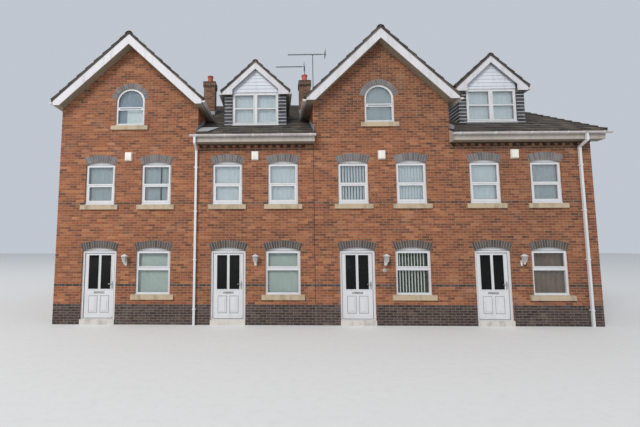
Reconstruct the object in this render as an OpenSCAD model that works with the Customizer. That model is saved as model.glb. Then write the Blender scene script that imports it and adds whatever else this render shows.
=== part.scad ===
// Terraced row of four brick houses. Houses 1 and 3 face the street with a gable, and houses 2 and 4
// have eaves with a dormer above. Lengths are in millimetres.
// The modules work in street coordinates: x runs along the row from its left end, y runs into the
// building from the front brick face, and z is the height above the ground.

/* [Row] */
// Width of house 1, outside its end wall to the party wall's far face
house_1_w = 4290; // [4200:10:4400]
// Width of house 2, clear between the party walls
house_2_w = 3560; // [3500:10:3700]
// Width of house 3, over both its party walls
house_3_w = 4140; // [4100:10:4300]
// Width of house 4, from the party wall to the row's right end
house_4_w = 4150; // [4100:10:4300]
// Depth of the row from the front face to the rear face
depth = 11700; // [11000:100:12000]
// Thickness of the outer walls
wall_t = 300; // [280:10:330]
// Thickness of the party walls
party_t = 250; // [215:5:260]

/* [Storeys] */
// Top of the ground floor and of the door thresholds
ground_floor_z = 150; // [140:5:170]
// Top of the first floor
first_floor_z = 2850; // [2800:10:2900]
// Top of the attic floor
attic_floor_z = 5340; // [5300:10:5400]
// Thickness of the first and attic floors
floor_t = 250; // [220:10:270]
// Springing level of the arches over doors and ground windows
ground_spring_z = 2180; // [2170:5:2190]
// Springing level of the arches over the first-floor windows
first_spring_z = 4830; // [4800:5:4850]
// Springing level of the round arches in the gables
gable_spring_z = 6830; // [6800:5:6850]

/* [Openings] */
// Width of a door frame
door_w = 1045; // [1020:5:1060]
// Width of a ground-floor window
ground_window_w = 1040; // [1000:5:1060]
// Width of a first-floor window, and of the round-headed gable window
sash_w = 910; // [890:5:930]
// Height of a ground-floor window frame
ground_window_h = 1295; // [1250:5:1300]
// Height of a first-floor window frame
sash_h = 1242; // [1200:2:1260]
// Height of a gable window below its springing
gable_window_h = 750; // [700:10:780]
// Setback of the frames behind the brick face
reveal = 45; // [30:5:60]
// Depth of the window and door frames
frame_d = 70; // [60:5:80]
// Depth of the soldier-brick arch rings
ring_h = 225; // [215:5:230]
// Rise of the flat arches over ground openings
ground_rise = 90; // [70:5:100]
// Rise of the flat arches over first-floor windows
first_rise = 80; // [70:5:100]
// Depth of the round arch rings
round_ring_h = 155; // [145:5:165]
// Height of a stone sill
sill_h = 150; // [140:5:160]
// How far a sill runs past its window on each side
sill_past = 120; // [100:5:140]

/* [Roof] */
// Pitch of the main roof
main_pitch = 27.5; // [26.5:0.1:28.5]
// Pitch of the left gable's roof
gable_1_pitch = 42.8; // [42:0.1:44]
// Pitch of the right gable's roof
gable_3_pitch = 43.8; // [42:0.1:44]
// Top of the left gable's tiles at its ridge
gable_1_ridge_z = 8957; // [8940:1:8980]
// Top of the right gable's tiles at its ridge
gable_3_ridge_z = 9033; // [9000:1:9050]
// Pitch of the dormer roofs
dormer_pitch = 42.9; // [41:0.1:44]
// Height of the tiles at the main eaves
eaves_z = 5705; // [5680:5:5730]
// How far the main tiles stand out past the wall
eaves_out = 350; // [340:5:360]
// Overhang of the gables' verges
verge_out = 300; // [280:5:320]
// Overhang of the verges at the row's ends
end_out = 220; // [200:5:240]
// Vertical depth of the main roof, tiles and rafters
main_t = 180; // [160:5:200]
// Vertical depth of the gable and dormer roofs
gable_t = 200; // [180:5:220]
// Vertical depth of the tile layer
tile_t = 55; // [45:5:60]

/* [Dormers] */
// Distance of the tile-hung dormer front behind the brick face
dormer_y = 800; // [750:10:850]
// Width over the left dormer's tile-hung cheeks
dormer_w = 2030; // [2000:10:2060]
// Width of the left dormer's window
dormer_window_w = 1524; // [1500:2:1560]
// Bottom of the dormer window
dormer_sill_z = 6320; // [6310:5:6340]
// Height of the dormer window
dormer_window_h = 1110; // [1080:10:1140]
// Top of the left dormer's tiles at its ridge
dormer_ridge_z = 8495; // [8480:5:8540]
// How much higher the right dormer sits
dormer_4_rise = 40; // [0:5:60]
// How much wider the right dormer is on each side
dormer_4_wider = 45; // [0:5:50]

/* [Chimneys] */
// Side of the square chimney stack
stack_w = 440; // [420:10:460]
// Height of the chimney stacks' top
stack_top_z = 9020; // [9000:10:9100]
// Distance of the stacks' middle behind the brick face
stack_y = 3550; // [3450:10:3650]

/* [Doors] */
// Width of a door frame member
door_frame_w = 62; // [55:1:66]
// Thickness of a door leaf
leaf_t = 44; // [40:1:48]
// Gap round a door leaf
leaf_gap = 8; // [7:1:9]
// Height of the sill bar under a door leaf
sill_bar_h = 20; // [15:1:25]

/* [Hidden] */

far = 3000;
row_l = house_1_w + house_2_w + house_3_w + house_4_w;
bay_x0 = [0, house_1_w, house_1_w + house_2_w, house_1_w + house_2_w + house_3_w];
bay_x1 = [bay_x0[1], bay_x0[2], bay_x0[3], row_l];
gabled = [0, 2];
eaved = [1, 3];
party_x = [bay_x0[1] - party_t, bay_x0[2], bay_x0[3] - party_t];
room_x0 = [wall_t, bay_x0[1], bay_x0[2] + party_t, bay_x0[3]];
room_x1 = [party_x[0], bay_x1[1], party_x[2], row_l - wall_t];

// Middle of each house's windows, and their distance to either side of it
bay_c = [2155, 6065, 9915, 13880];
sash_off = [868, 850, 873, 900];
door_off = 805;
ground_window_off = 838;
function door_x(i) = bay_c[i] - door_off - door_w / 2;

main_slope = tan(main_pitch);
function gable_slope(i) = tan(i == 2 ? gable_3_pitch : gable_1_pitch);
dormer_slope = tan(dormer_pitch);
ridge_y = depth / 2;
function main_top(y) = eaves_z + main_slope * (min(y, depth - y) + eaves_out);
ridge_z = main_top(ridge_y);
fascia_t = 22;
fascia_y = 300;
fascia_bottom_z = 5442;
// How far tiles run past the boxed eaves of gables and dormers
tile_past = 40;
// Width of the gables' boxed eaves, and how far the bargeboards' feet reach in over the wall
boxed_eaves = [153, 0, 220, 0];
foot_past = 45;
// How far a gable's window lies left of its ridge, and above the springing level
gable_window_left = [0, 0, 30, 0];
gable_window_up = [0, 0, 32, 0];
barge_depth = 368;
barge_t = 22;
soffit_t = 12;
verge_tile_out = 20;
gutter_r = 58;
gutter_t = 3;
outer_leaf = 102;
dormer_skin = 30;
dormer_wall_t = 100;
dormer_barge_y = 120;
dormer_barge_depth = 280;
dormer_boxed = 1100;
dormer_eaves_z = 7330;
// How far each dormer's middle lies left of its house's
dormer_left = [0, 35, 0, 110];
// The right dormer's cheeks and ridge follow its greater width in these shares
cheek_share = 0.7;
ridge_share = 1.6;
// Vertical depth of the dormer roofs
dormer_t = 165;
// Clearance between a roof and what meets it, and between boards that butt
clear = 1;
stack_x = [4020, 7900];
stack_base_z = attic_floor_z;
lantern_z = 1740;
bell_z = 4930;

// Placing helpers

module in_row() {
    translate([-row_l / 2, -depth / 2, 0]) children();
}

module box(x0, x1, y0, y1, z0, z1) {
    translate([x0, y0, z0]) cube([x1 - x0, y1 - y0, z1 - z0]);
}

// Prism along x of an outline in y and z
module prism_x(x0, x1, points) {
    translate([x0, 0, 0]) rotate([90, 0, 90]) linear_extrude(x1 - x0) polygon(points);
}

// Prism along y of an outline in x and z
module prism_y(y0, y1, points) {
    translate([0, y1, 0]) rotate([90, 0, 0]) linear_extrude(y1 - y0) polygon(points);
}

// Round bar along y
module bar_y(x, z, r, y0, y1, sides = 96) {
    translate([x, y1, z]) rotate([90, 0, 0]) cylinder(h = y1 - y0, r = r, $fn = sides);
}

// A shape of the front, mirrored on to the rear wall
module on_rear() {
    translate([0, depth, 0]) mirror([0, 1, 0]) children();
}

// The shape and its mirror image on the rear wall
module front_and_rear() {
    children();
    on_rear() children();
}

// Roof volumes

// Everything under the main roof's tile surface lowered by drop
module below_main(drop) {
    edge_z = eaves_z + main_slope * (eaves_out - far) - drop;
    prism_x(-far, row_l + far, [
        [-far, -far], [-far, edge_z], [ridge_y, ridge_z - drop],
        [depth + far, edge_z], [depth + far, -far]
    ]);
}

// Outline under a pair of slopes that meet at c, lowered by drop and cut off at half each side
function pitched(c, top_z, slope, half, drop) = [
    [c - half, 0], [c - half, top_z - slope * half - drop], [c, top_z - drop],
    [c + half, top_z - slope * half - drop], [c + half, 0]
];

function gable_c(i) = (bay_x0[i] + bay_x1[i]) / 2;
function gable_half(i) = (bay_x1[i] - bay_x0[i]) / 2;
function gable_top(i) = i == 2 ? gable_3_ridge_z : gable_1_ridge_z;
// Half the width over the boxed eaves, and over the tiles
function gable_box(i) = gable_half(i) + boxed_eaves[i];
function gable_tile(i) = gable_box(i) + tile_past;
// Where the bargeboard's foot begins
function gable_foot(i) = gable_half(i) - foot_past;

module below_gable(i, drop, y0 = 0) {
    prism_y(y0, ridge_y, pitched(gable_c(i), gable_top(i), gable_slope(i), gable_half(i), drop));
}

// Middle, ridge, window bottom and eaves underside of each dormer
function dormer_c(i) = bay_c[i] - dormer_left[i];
function dormer_rise(i) = i == 3 ? dormer_4_rise : 0;
function dormer_wider(i) = i == 3 ? dormer_4_wider : 0;
function dormer_top(i) = dormer_ridge_z + dormer_rise(i) + ridge_share * dormer_wider(i);
function dormer_sill(i) = dormer_sill_z + dormer_rise(i);
function dormer_box_z(i) = dormer_eaves_z + dormer_rise(i);
// Half the width over its cheeks, window, boxed eaves, rafters and tiles
function dormer_half(i) = dormer_w / 2 + cheek_share * dormer_wider(i);
function dormer_window_half(i) = dormer_window_w / 2 + dormer_wider(i);
function dormer_box(i) = dormer_boxed + dormer_wider(i);
function dormer_deck(i) = min(dormer_box(i) - fascia_t,
    (dormer_top(i) - dormer_t - dormer_box_z(i) - soffit_t - clear) / dormer_slope);
function dormer_tile(i) = dormer_box(i) + tile_past;

module dormer_inside(i) {
    prism_y(dormer_y + dormer_skin + dormer_wall_t, ridge_y,
        pitched(dormer_c(i), dormer_top(i), dormer_slope,
            dormer_half(i) - dormer_skin - dormer_wall_t, dormer_t));
}

// What a dormer's window frame takes out of the main roof
module dormer_sill_cut(i) {
    half = dormer_window_half(i) + clear;
    box(dormer_c(i) - half, dormer_c(i) + half, dormer_y + 20 - clear,
        dormer_y + dormer_skin + dormer_wall_t + 1, dormer_sill(i) - clear, dormer_top(i));
}

// The space that masonry fills up to the roof's underside
module under_roofs() {
    below_main(main_t + clear);
    for (i = gabled) below_gable(i, gable_t + clear, 0);
}

// Arches

function arc_r(w, rise) = (w * w / 4 + rise * rise) / (2 * rise);

// Head of a flat arch, from its springing up to the inner curve
module arch_head(c, w, z, rise, y0, y1) {
    r = arc_r(w, rise);
    intersection() {
        box(c - w / 2, c + w / 2, y0, y1, z, z + rise * 2);
        bar_y(c, z + rise - r, r, y0, y1, 180);
    }
}

// Sector under the outer curve of a flat arch, between radial ends that start below its springing
module arch_sector(c, w, z, rise, y0, y1) {
    r = arc_r(w, rise);
    centre_z = z + rise - r;
    splay = (w / 2) / (z - centre_z);
    start = z - centre_z - 200;
    reach = r + 2 * ring_h;
    intersection() {
        bar_y(c, centre_z, r + ring_h, y0, y1, 180);
        prism_y(y0, y1, [
            [c - splay * start, centre_z + start], [c + splay * start, centre_z + start],
            [c + splay * reach, centre_z + reach], [c - splay * reach, centre_z + reach]
        ]);
    }
}

// Ring of soldier bricks over a flat arch, with radial ends
module arch_ring(c, w, z, rise, y0, y1) difference() {
    arch_sector(c, w, z, rise, y0, y1);
    bar_y(c, z + rise - arc_r(w, rise), arc_r(w, rise), y0 - 1, y1 + 1, 180);
}

// Ring of the round arch of a gable window
round_foot_z = gable_spring_z + 100;

module round_ring(c, y0, y1) {
    difference() {
        bar_y(c, gable_spring_z, sash_w / 2 + round_ring_h, y0, y1);
        bar_y(c, gable_spring_z, sash_w / 2, y0 - 1, y1 + 1);
        box(c - sash_w, c + sash_w, y0 - 1, y1 + 1, gable_spring_z - sash_w, round_foot_z);
    }
}

// Stone sill whose nose stands proud of the wall and is weathered on top
module sill(c, w, top_z) {
    proud = 60;
    weathering = 22;
    prism_x(c - w / 2 - sill_past, c + w / 2 + sill_past, [
        [-proud, top_z - sill_h], [reveal + frame_d, top_z - sill_h],
        [reveal + frame_d, top_z], [0, top_z], [-proud, top_z - weathering]
    ]);
}

// What a sill takes out of the wall
module sill_pocket(c, w, top_z) {
    box(c - w / 2 - sill_past, c + w / 2 + sill_past, -1, reveal + frame_d, top_z - sill_h, top_z);
}

// What an opening with a flat arch takes out of a wall: a hole and a recess for the ring
module arched_hole(c, w, z0, z, rise) {
    r = arc_r(w, rise);
    intersection() {
        box(c - w / 2, c + w / 2, -1, wall_t + 1, z0, z + rise * 2);
        bar_y(c, z + rise - r, r, -2, wall_t + 2, 180);
    }
    arch_sector(c, w, z, rise, -1, outer_leaf);
}

// How far a window's hole goes down past its frame, behind the sill
hole_past = 10;
// How far an arched head's hole reaches down past its springing
head_past = 120;

module first_window_cuts(i) {
    for (side = [-1, 1]) {
        c = bay_c[i] + side * sash_off[i];
        arched_hole(c, sash_w, first_spring_z - sash_h - hole_past, first_spring_z, first_rise);
        sill_pocket(c, sash_w, first_spring_z - sash_h);
    }
}

module ground_heads(i) {
    arched_hole(bay_c[i] - door_off, door_w, ground_spring_z - head_past, ground_spring_z, ground_rise);
    arched_hole(bay_c[i] + ground_window_off, ground_window_w, ground_spring_z - head_past, ground_spring_z,
        ground_rise);
}

// Moves a window about x = 0 to its place in a gable
module in_gable(i) {
    translate([gable_c(i) - gable_window_left[i], 0, gable_window_up[i]]) children();
}

module gable_window_cut() {
    half = sash_w / 2;
    z0 = gable_spring_z - gable_window_h;
    box(-half, half, -1, wall_t + 1, z0 - hole_past, gable_spring_z);
    bar_y(0, gable_spring_z, half, -2, wall_t + 2);
    intersection() {
        bar_y(0, gable_spring_z, half + round_ring_h, -1, outer_leaf);
        box(-sash_w, sash_w, -2, outer_leaf + 1, round_foot_z, gable_spring_z + sash_w);
    }
    sill_pocket(0, sash_w, z0);
}

module stack_cuts() {
    for (x = stack_x)
        box(x - stack_w / 2, x + stack_w / 2, stack_y - stack_w / 2, stack_y + stack_w / 2,
            stack_base_z, stack_top_z);
}

// Walls and floors

brick = "#9a5140";

// Hole of a ground-floor window up to z1, with its sill pocket
module ground_window_hole(c, z1) {
    z0 = ground_spring_z - ground_window_h;
    box(c - ground_window_w / 2, c + ground_window_w / 2, -1, wall_t + 1, z0 - hole_past, z1);
    sill_pocket(c, ground_window_w, z0);
}

module front_wall_lower() color(brick) in_row() difference() {
    box(0, row_l, 0, wall_t, 0, ground_spring_z);
    for (i = [0 : 3]) {
        box(door_x(i), door_x(i) + door_w, -1, wall_t + 1, -1, ground_spring_z + 1);
        ground_window_hole(bay_c[i] + ground_window_off, ground_spring_z + 1);
    }
}

module front_wall_upper(i) difference() {
    intersection() {
        box(bay_x0[i], bay_x1[i], 0, wall_t, ground_spring_z, gable_top(i));
        under_roofs();
    }
    ground_heads(i);
    first_window_cuts(i);
    children();
}

module front_walls_gabled() color(brick) in_row()
    for (i = gabled) front_wall_upper(i) in_gable(i) gable_window_cut();

module front_walls_eaved() color(brick) in_row()
    for (i = eaved) front_wall_upper(i);

module end_walls() color(brick) in_row() intersection() {
    for (x = [0, row_l - wall_t]) box(x, x + wall_t, wall_t, depth - wall_t, 0, ridge_z);
    under_roofs();
}

module party_walls() color("#8d5a4c") in_row() difference() {
    intersection() {
        for (x = party_x) box(x, x + party_t, wall_t, depth - wall_t, 0, ridge_z);
        under_roofs();
    }
    stack_cuts();
}

module rear_wall_lower() color(brick) in_row() on_rear() difference() {
    box(0, row_l, 0, wall_t, 0, ground_spring_z);
    for (i = [0 : 3]) for (side = [-1, 1])
        ground_window_hole(bay_c[i] + side * ground_window_off, ground_spring_z + 1);
}

module rear_wall_upper() color(brick) in_row() difference() {
    intersection() {
        box(0, row_l, depth - wall_t, depth, ground_spring_z, ridge_z);
        under_roofs();
    }
    on_rear() for (i = [0 : 3]) {
        for (side = [-1, 1])
            arched_hole(bay_c[i] + side * ground_window_off, ground_window_w, ground_spring_z - head_past,
                ground_spring_z, ground_rise);
        first_window_cuts(i);
    }
}

// One slab in each house, between its walls
module floor_slabs(z0, z1) {
    for (i = [0 : 3]) box(room_x0[i], room_x1[i], wall_t, depth - wall_t, z0, z1);
}

module ground_floor() color("#a8a49a") in_row() floor_slabs(0, ground_floor_z);

module first_floor() color("#b59a72") in_row() floor_slabs(first_floor_z - floor_t, first_floor_z);

module attic_floor() color("#b59a72") in_row() floor_slabs(attic_floor_z - floor_t, attic_floor_z);

module thresholds() color("#cfc6b4") in_row()
    for (i = [0 : 3]) box(door_x(i), door_x(i) + door_w, -30, wall_t, 0, ground_floor_z);

// Arches, sills and head panels

module ground_arches_front(y0, y1) {
    for (i = [0 : 3]) {
        arch_ring(bay_c[i] - door_off, door_w, ground_spring_z, ground_rise, y0, y1);
        arch_ring(bay_c[i] + ground_window_off, ground_window_w, ground_spring_z, ground_rise, y0, y1);
    }
}

module brick_arches() color("#6f7a88") in_row() {
    ground_arches_front(0, outer_leaf);
    for (i = gabled) in_gable(i) round_ring(0, 0, outer_leaf);
    front_and_rear() for (i = [0 : 3]) for (side = [-1, 1])
        arch_ring(bay_c[i] + side * sash_off[i], sash_w, first_spring_z, first_rise, 0, outer_leaf);
    on_rear() for (i = [0 : 3]) for (side = [-1, 1])
        arch_ring(bay_c[i] + side * ground_window_off, ground_window_w, ground_spring_z, ground_rise,
            0, outer_leaf);
}

module window_sills() color("#d6c7a4") in_row() {
    for (i = gabled) in_gable(i) sill(0, sash_w, gable_spring_z - gable_window_h);
    for (i = [0 : 3]) sill(bay_c[i] + ground_window_off, ground_window_w, ground_spring_z - ground_window_h);
    front_and_rear() for (i = [0 : 3]) for (side = [-1, 1])
        sill(bay_c[i] + side * sash_off[i], sash_w, first_spring_z - sash_h);
    on_rear() for (i = [0 : 3]) for (side = [-1, 1])
        sill(bay_c[i] + side * ground_window_off, ground_window_w, ground_spring_z - ground_window_h);
}

module arch_panels() color("#f2f2ee") in_row() {
    y0 = reveal + 5;
    y1 = reveal + frame_d;
    for (i = [0 : 3]) {
        arch_head(bay_c[i] - door_off, door_w, ground_spring_z, ground_rise, y0, y1);
        arch_head(bay_c[i] + ground_window_off, ground_window_w, ground_spring_z, ground_rise, y0, y1);
    }
    front_and_rear() for (i = [0 : 3]) for (side = [-1, 1])
        arch_head(bay_c[i] + side * sash_off[i], sash_w, first_spring_z, first_rise, y0, y1);
    on_rear() for (i = [0 : 3]) for (side = [-1, 1])
        arch_head(bay_c[i] + side * ground_window_off, ground_window_w, ground_spring_z, ground_rise,
            y0, y1);
}

// Windows

upvc = "#f4f4f1";
member = 60;
pane_t = 24;

// Ground window: a fixed pane under a top-hung fanlight
fanlight_z = 715;
transom_h = 105;

module ground_window_frame(c) {
    z0 = ground_spring_z - ground_window_h;
    x0 = c - ground_window_w / 2;
    x1 = c + ground_window_w / 2;
    difference() {
        box(x0, x1, reveal, reveal + frame_d, z0, ground_spring_z);
        box(x0 + member, x1 - member, reveal - 1, reveal + frame_d + 1, z0 + member, z0 + fanlight_z);
        box(x0 + member, x1 - member, reveal - 1, reveal + frame_d + 1,
            z0 + fanlight_z + transom_h, ground_spring_z - member);
    }
}

module ground_window_pane(c) {
    z0 = ground_spring_z - ground_window_h;
    y0 = reveal + (frame_d - pane_t) / 2;
    x0 = c - ground_window_w / 2 + member;
    x1 = c + ground_window_w / 2 - member;
    box(x0, x1, y0, y0 + pane_t, z0 + member, z0 + fanlight_z);
    box(x0, x1, y0, y0 + pane_t, z0 + fanlight_z + transom_h, ground_spring_z - member);
}

// First-floor window: two sashes, the lower one with wider members
sash_rail_z = 552;
sash_rail_h = 95;
lower_sash = 105;
lower_rail = 130;
upper_sash = 75;

module sash_window_frame(c) {
    z0 = first_spring_z - sash_h;
    x0 = c - sash_w / 2;
    x1 = c + sash_w / 2;
    difference() {
        box(x0, x1, reveal, reveal + frame_d, z0, first_spring_z);
        box(x0 + lower_sash, x1 - lower_sash, reveal - 1, reveal + frame_d + 1, z0 + lower_rail,
            z0 + sash_rail_z);
        box(x0 + upper_sash, x1 - upper_sash, reveal - 1, reveal + frame_d + 1,
            z0 + sash_rail_z + sash_rail_h, first_spring_z - upper_sash);
    }
}

module sash_window_pane(c) {
    z0 = first_spring_z - sash_h;
    y0 = reveal + (frame_d - pane_t) / 2;
    x0 = c - sash_w / 2;
    x1 = c + sash_w / 2;
    box(x0 + lower_sash, x1 - lower_sash, y0, y0 + pane_t, z0 + lower_rail, z0 + sash_rail_z);
    box(x0 + upper_sash, x1 - upper_sash, y0, y0 + pane_t, z0 + sash_rail_z + sash_rail_h,
        first_spring_z - upper_sash);
}

// Gable window: a round-headed light over a square one
gable_rail_z = 500;
gable_rail_h = 90;

module round_headed(c, inset, z0, y0, y1) {
    half = sash_w / 2 - inset;
    box(c - half, c + half, y0, y1, z0, gable_spring_z);
    bar_y(c, gable_spring_z, half, y0, y1);
}

module gable_window_frame(c) {
    z0 = gable_spring_z - gable_window_h;
    half = sash_w / 2;
    difference() {
        round_headed(c, 0, z0, reveal, reveal + frame_d);
        box(c - half + member, c + half - member, reveal - 1, reveal + frame_d + 1, z0 + member,
            z0 + gable_rail_z);
        round_headed(c, member, z0 + gable_rail_z + gable_rail_h, reveal - 1, reveal + frame_d + 1);
    }
}

module gable_window_pane(c) {
    z0 = gable_spring_z - gable_window_h;
    y0 = reveal + (frame_d - pane_t) / 2;
    half = sash_w / 2;
    box(c - half + member, c + half - member, y0, y0 + pane_t, z0 + member, z0 + gable_rail_z);
    round_headed(c, member, z0 + gable_rail_z + gable_rail_h, y0, y0 + pane_t);
}

// Dormer window: two casements, each with a rail across its middle
mullion_w = 130;
dormer_rail_z = 540;
dormer_rail_h = 50;
casement = 85;

module dormer_lights(i, y0, y1) {
    z1 = dormer_sill(i) + dormer_window_h - casement;
    for (side = [-1, 1]) {
        xa = dormer_c(i) + side * mullion_w / 2;
        xb = dormer_c(i) + side * (dormer_window_half(i) - casement);
        for (z = [[dormer_sill(i) + casement, dormer_sill(i) + dormer_rail_z],
                  [dormer_sill(i) + dormer_rail_z + dormer_rail_h, z1]])
            box(min(xa, xb), max(xa, xb), y0, y1, z[0], z[1]);
    }
}

module dormer_window_frame(i) {
    y0 = dormer_y + 20;
    difference() {
        box(dormer_c(i) - dormer_window_half(i), dormer_c(i) + dormer_window_half(i), y0, y0 + frame_d,
            dormer_sill(i), dormer_sill(i) + dormer_window_h);
        dormer_lights(i, y0 - 1, y0 + frame_d + 1);
    }
}

module ground_window_frames() color(upvc) in_row() {
    for (i = [0 : 3]) ground_window_frame(bay_c[i] + ground_window_off);
    on_rear() for (i = [0 : 3]) for (side = [-1, 1])
        ground_window_frame(bay_c[i] + side * ground_window_off);
}

module first_window_frames() color(upvc) in_row()
    front_and_rear() for (i = [0 : 3]) for (side = [-1, 1]) sash_window_frame(bay_c[i] + side * sash_off[i]);

module gable_window_frames() color(upvc) in_row()
    for (i = gabled) in_gable(i) gable_window_frame(0);

module dormer_window_frames() color(upvc) in_row()
    for (i = eaved) dormer_window_frame(i);

module window_glass() color("#a9c3c6", 0.5) in_row() {
    for (i = [0 : 3]) ground_window_pane(bay_c[i] + ground_window_off);
    on_rear() for (i = [0 : 3]) for (side = [-1, 1])
        ground_window_pane(bay_c[i] + side * ground_window_off);
    front_and_rear() for (i = [0 : 3]) for (side = [-1, 1]) sash_window_pane(bay_c[i] + side * sash_off[i]);
}

module roof_window_glass() color("#a9c3c6", 0.5) in_row() {
    y0 = dormer_y + 20 + (frame_d - pane_t) / 2;
    for (i = gabled) in_gable(i) gable_window_pane(0);
    for (i = eaved) dormer_lights(i, y0, y0 + pane_t);
}

// Doors

leaf_w = door_w - 2 * door_frame_w - 2 * leaf_gap;
leaf_z0 = ground_floor_z + sill_bar_h + leaf_gap;
leaf_z1 = ground_spring_z - door_frame_w - leaf_gap;
leaf_y1 = reveal + frame_d;
leaf_y0 = leaf_y1 - leaf_t;
hinge_r = 8;
hinge_plate_t = 4;
hinge_y = leaf_y1 + hinge_plate_t + hinge_r;
hinge_h = 90;
function leaf_x(i) = door_x(i) + door_frame_w + leaf_gap;
function hinge_x(i) = leaf_x(i) - leaf_gap / 2;
hinge_heights = [leaf_z0 + 180, (leaf_z0 + leaf_z1) / 2, leaf_z1 - 180];
pane_z0 = 1035;
pane_z1 = 2050;
pane_w = 305;
pane_gap = 70;

// Half of a butt hinge: its barrel and the plate screwed to one side
module hinge_half(i, z, side) {
    x = hinge_x(i);
    z0 = side > 0 ? z + 2 : z - hinge_h / 2;
    translate([x, hinge_y, z0]) cylinder(h = hinge_h / 2 - 2, r = hinge_r, $fn = 32);
    plate_x = x + side * (leaf_gap / 2 + 20);
    box(plate_x - 20, plate_x + 20, leaf_y1, leaf_y1 + hinge_plate_t, z0, z0 + hinge_h / 2 - 2);
    box(min(x, plate_x), max(x, plate_x), leaf_y1 + 1, leaf_y1 + hinge_plate_t, z0, z0 + hinge_h / 2 - 2);
}

// Two jambs with a head and a sill bar between them
module door_frame(i) {
    x0 = door_x(i);
    x1 = x0 + door_w;
    joint = 0.5;
    for (x = [x0, x1 - door_frame_w])
        box(x, x + door_frame_w, reveal, reveal + frame_d, ground_floor_z, ground_spring_z);
    for (z = [[ground_floor_z, ground_floor_z + sill_bar_h],
              [ground_spring_z - door_frame_w, ground_spring_z]])
        box(x0 + door_frame_w + joint, x1 - door_frame_w - joint, reveal, reveal + frame_d, z[0], z[1]);
}

module door_frames() color(upvc) in_row()
    for (i = [0 : 3]) door_frame(i);

module door_hinges() color("#c8c9c6") in_row()
    for (i = [0 : 3]) for (z = hinge_heights) hinge_half(i, z, -1);

// The two panes of a door, shrunk by inset on every side
module door_panes(i, y0, y1, inset = 0) {
    c = leaf_x(i) + leaf_w / 2;
    for (side = [-1, 1]) {
        x = c + side * (pane_gap + pane_w) / 2;
        box(x - pane_w / 2 + inset, x + pane_w / 2 - inset, y0, y1, pane_z0 + inset, pane_z1 - inset);
    }
}

module door_leaf(i) color(upvc) in_row() {
    c = leaf_x(i) + leaf_w / 2;
    difference() {
        box(leaf_x(i), leaf_x(i) + leaf_w, leaf_y0, leaf_y1, leaf_z0, leaf_z1);
        door_panes(i, leaf_y0 - 1, leaf_y1 + 1);
    }
    for (side = [-1, 1]) {
        x = c + side * 180;
        box(x - 112, x + 112, leaf_y0 - 8, leaf_y0, 375, 805);
    }
}

module door_glass(i) color("#5d6a70", 0.6) in_row()
    door_panes(i, leaf_y0 + 10, leaf_y0 + 34);

// Lever handle on a long plate, out from the face at y in direction out
module lever_handle(x, y, out) {
    box(x - 17, x + 17, min(y, y + out * 10), max(y, y + out * 10), 1040, 1270);
    bar_y(x, 1190, 9, min(y, y + out * 50), max(y, y + out * 50), 24);
    box(x - 120, x + 9, min(y + out * 38, y + out * 52), max(y + out * 38, y + out * 52), 1180, 1200);
}

module door_furniture(i) color("#c8c9c6") in_row() {
    c = leaf_x(i) + leaf_w / 2;
    handle_x = leaf_x(i) + leaf_w - 55;
    lever_handle(handle_x, leaf_y0, -1);
    lever_handle(handle_x, leaf_y1, 1);
    box(c - 155, c + 155, leaf_y0 - 12, leaf_y0, 910, 965);
    for (z = hinge_heights) hinge_half(i, z, 1);
}

// Roofs

tiles = "#4a4744";

// One main slope: rafters from x0 to x1, and tiles that run past them over the verge boards
module main_slope_slab(x0, x1, tile_x0, tile_x1) {
    foot = fascia_t - fascia_y;
    prism_x(x0, x1, [
        [foot, main_top(foot)], [ridge_y, ridge_z],
        [ridge_y, ridge_z - main_t], [foot, main_top(foot) - main_t]
    ]);
    prism_x(tile_x0, tile_x1, [
        [-eaves_out, main_top(-eaves_out) - tile_t], [-eaves_out, main_top(-eaves_out)],
        [ridge_y, ridge_z], [ridge_y, ridge_z - tile_t]
    ]);
}

module main_roof_front() color(tiles) in_row() {
    difference() {
        main_slope_slab(bay_x0[1], bay_x1[1], bay_x0[1], bay_x1[1]);
        dormer_inside(eaved[0]);
        dormer_sill_cut(eaved[0]);
        stack_cuts();
    }
    difference() {
        main_slope_slab(bay_x0[3], row_l + end_out - barge_t, bay_x0[3], row_l + end_out + verge_tile_out);
        dormer_inside(eaved[1]);
        dormer_sill_cut(eaved[1]);
        stack_cuts();
    }
}

// Where a gable roof's eaves run into the main roof
function gable_valley_y(i) =
    (gable_top(i) - gable_slope(i) * gable_box(i) - eaves_z) / main_slope - eaves_out;
valley_y = gable_valley_y(0);

module main_roof_behind_gables() color(tiles) in_row() {
    difference() {
        main_slope_slab(barge_t - end_out, bay_x1[0], -end_out - verge_tile_out, bay_x1[0]);
        below_gable(gabled[0], gable_t, -far);
        box(-far, 0, -far, valley_y, 0, ridge_z);
        stack_cuts();
    }
    difference() {
        main_slope_slab(bay_x0[2], bay_x1[2], bay_x0[2], bay_x1[2]);
        below_gable(gabled[1], gable_t, -far);
        stack_cuts();
    }
}

module main_roof_rear() color(tiles) in_row() on_rear()
    main_slope_slab(barge_t - end_out, row_l + end_out - barge_t, -end_out - verge_tile_out,
        row_l + end_out + verge_tile_out);

// One slope of a cross roof: tiles out to tile_half, rafters of depth t out to deck_half
module cross_slope(c, top_z, slope, t, side, tile_half, deck_half, tile_y, deck_y) difference() {
    union() {
        prism_y(tile_y, ridge_y, [
            [c, top_z], [c + side * tile_half, top_z - slope * tile_half],
            [c + side * tile_half, top_z - slope * tile_half - tile_t], [c, top_z - tile_t]
        ]);
        prism_y(deck_y, ridge_y, [
            [c, top_z], [c + side * deck_half, top_z - slope * deck_half],
            [c + side * deck_half, top_z - slope * deck_half - t], [c, top_z - t]
        ]);
    }
    below_main(-clear);
}

// Everything above the rear slope carried on past the main ridge
module above_rear() {
    up = 1500;
    prism_x(-far, row_l + far, [
        [ridge_y - up, ridge_z + main_slope * up], [ridge_y - up, ridge_z + far],
        [ridge_y + up, ridge_z + far], [ridge_y + up, ridge_z - main_slope * up]
    ]);
}

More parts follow.
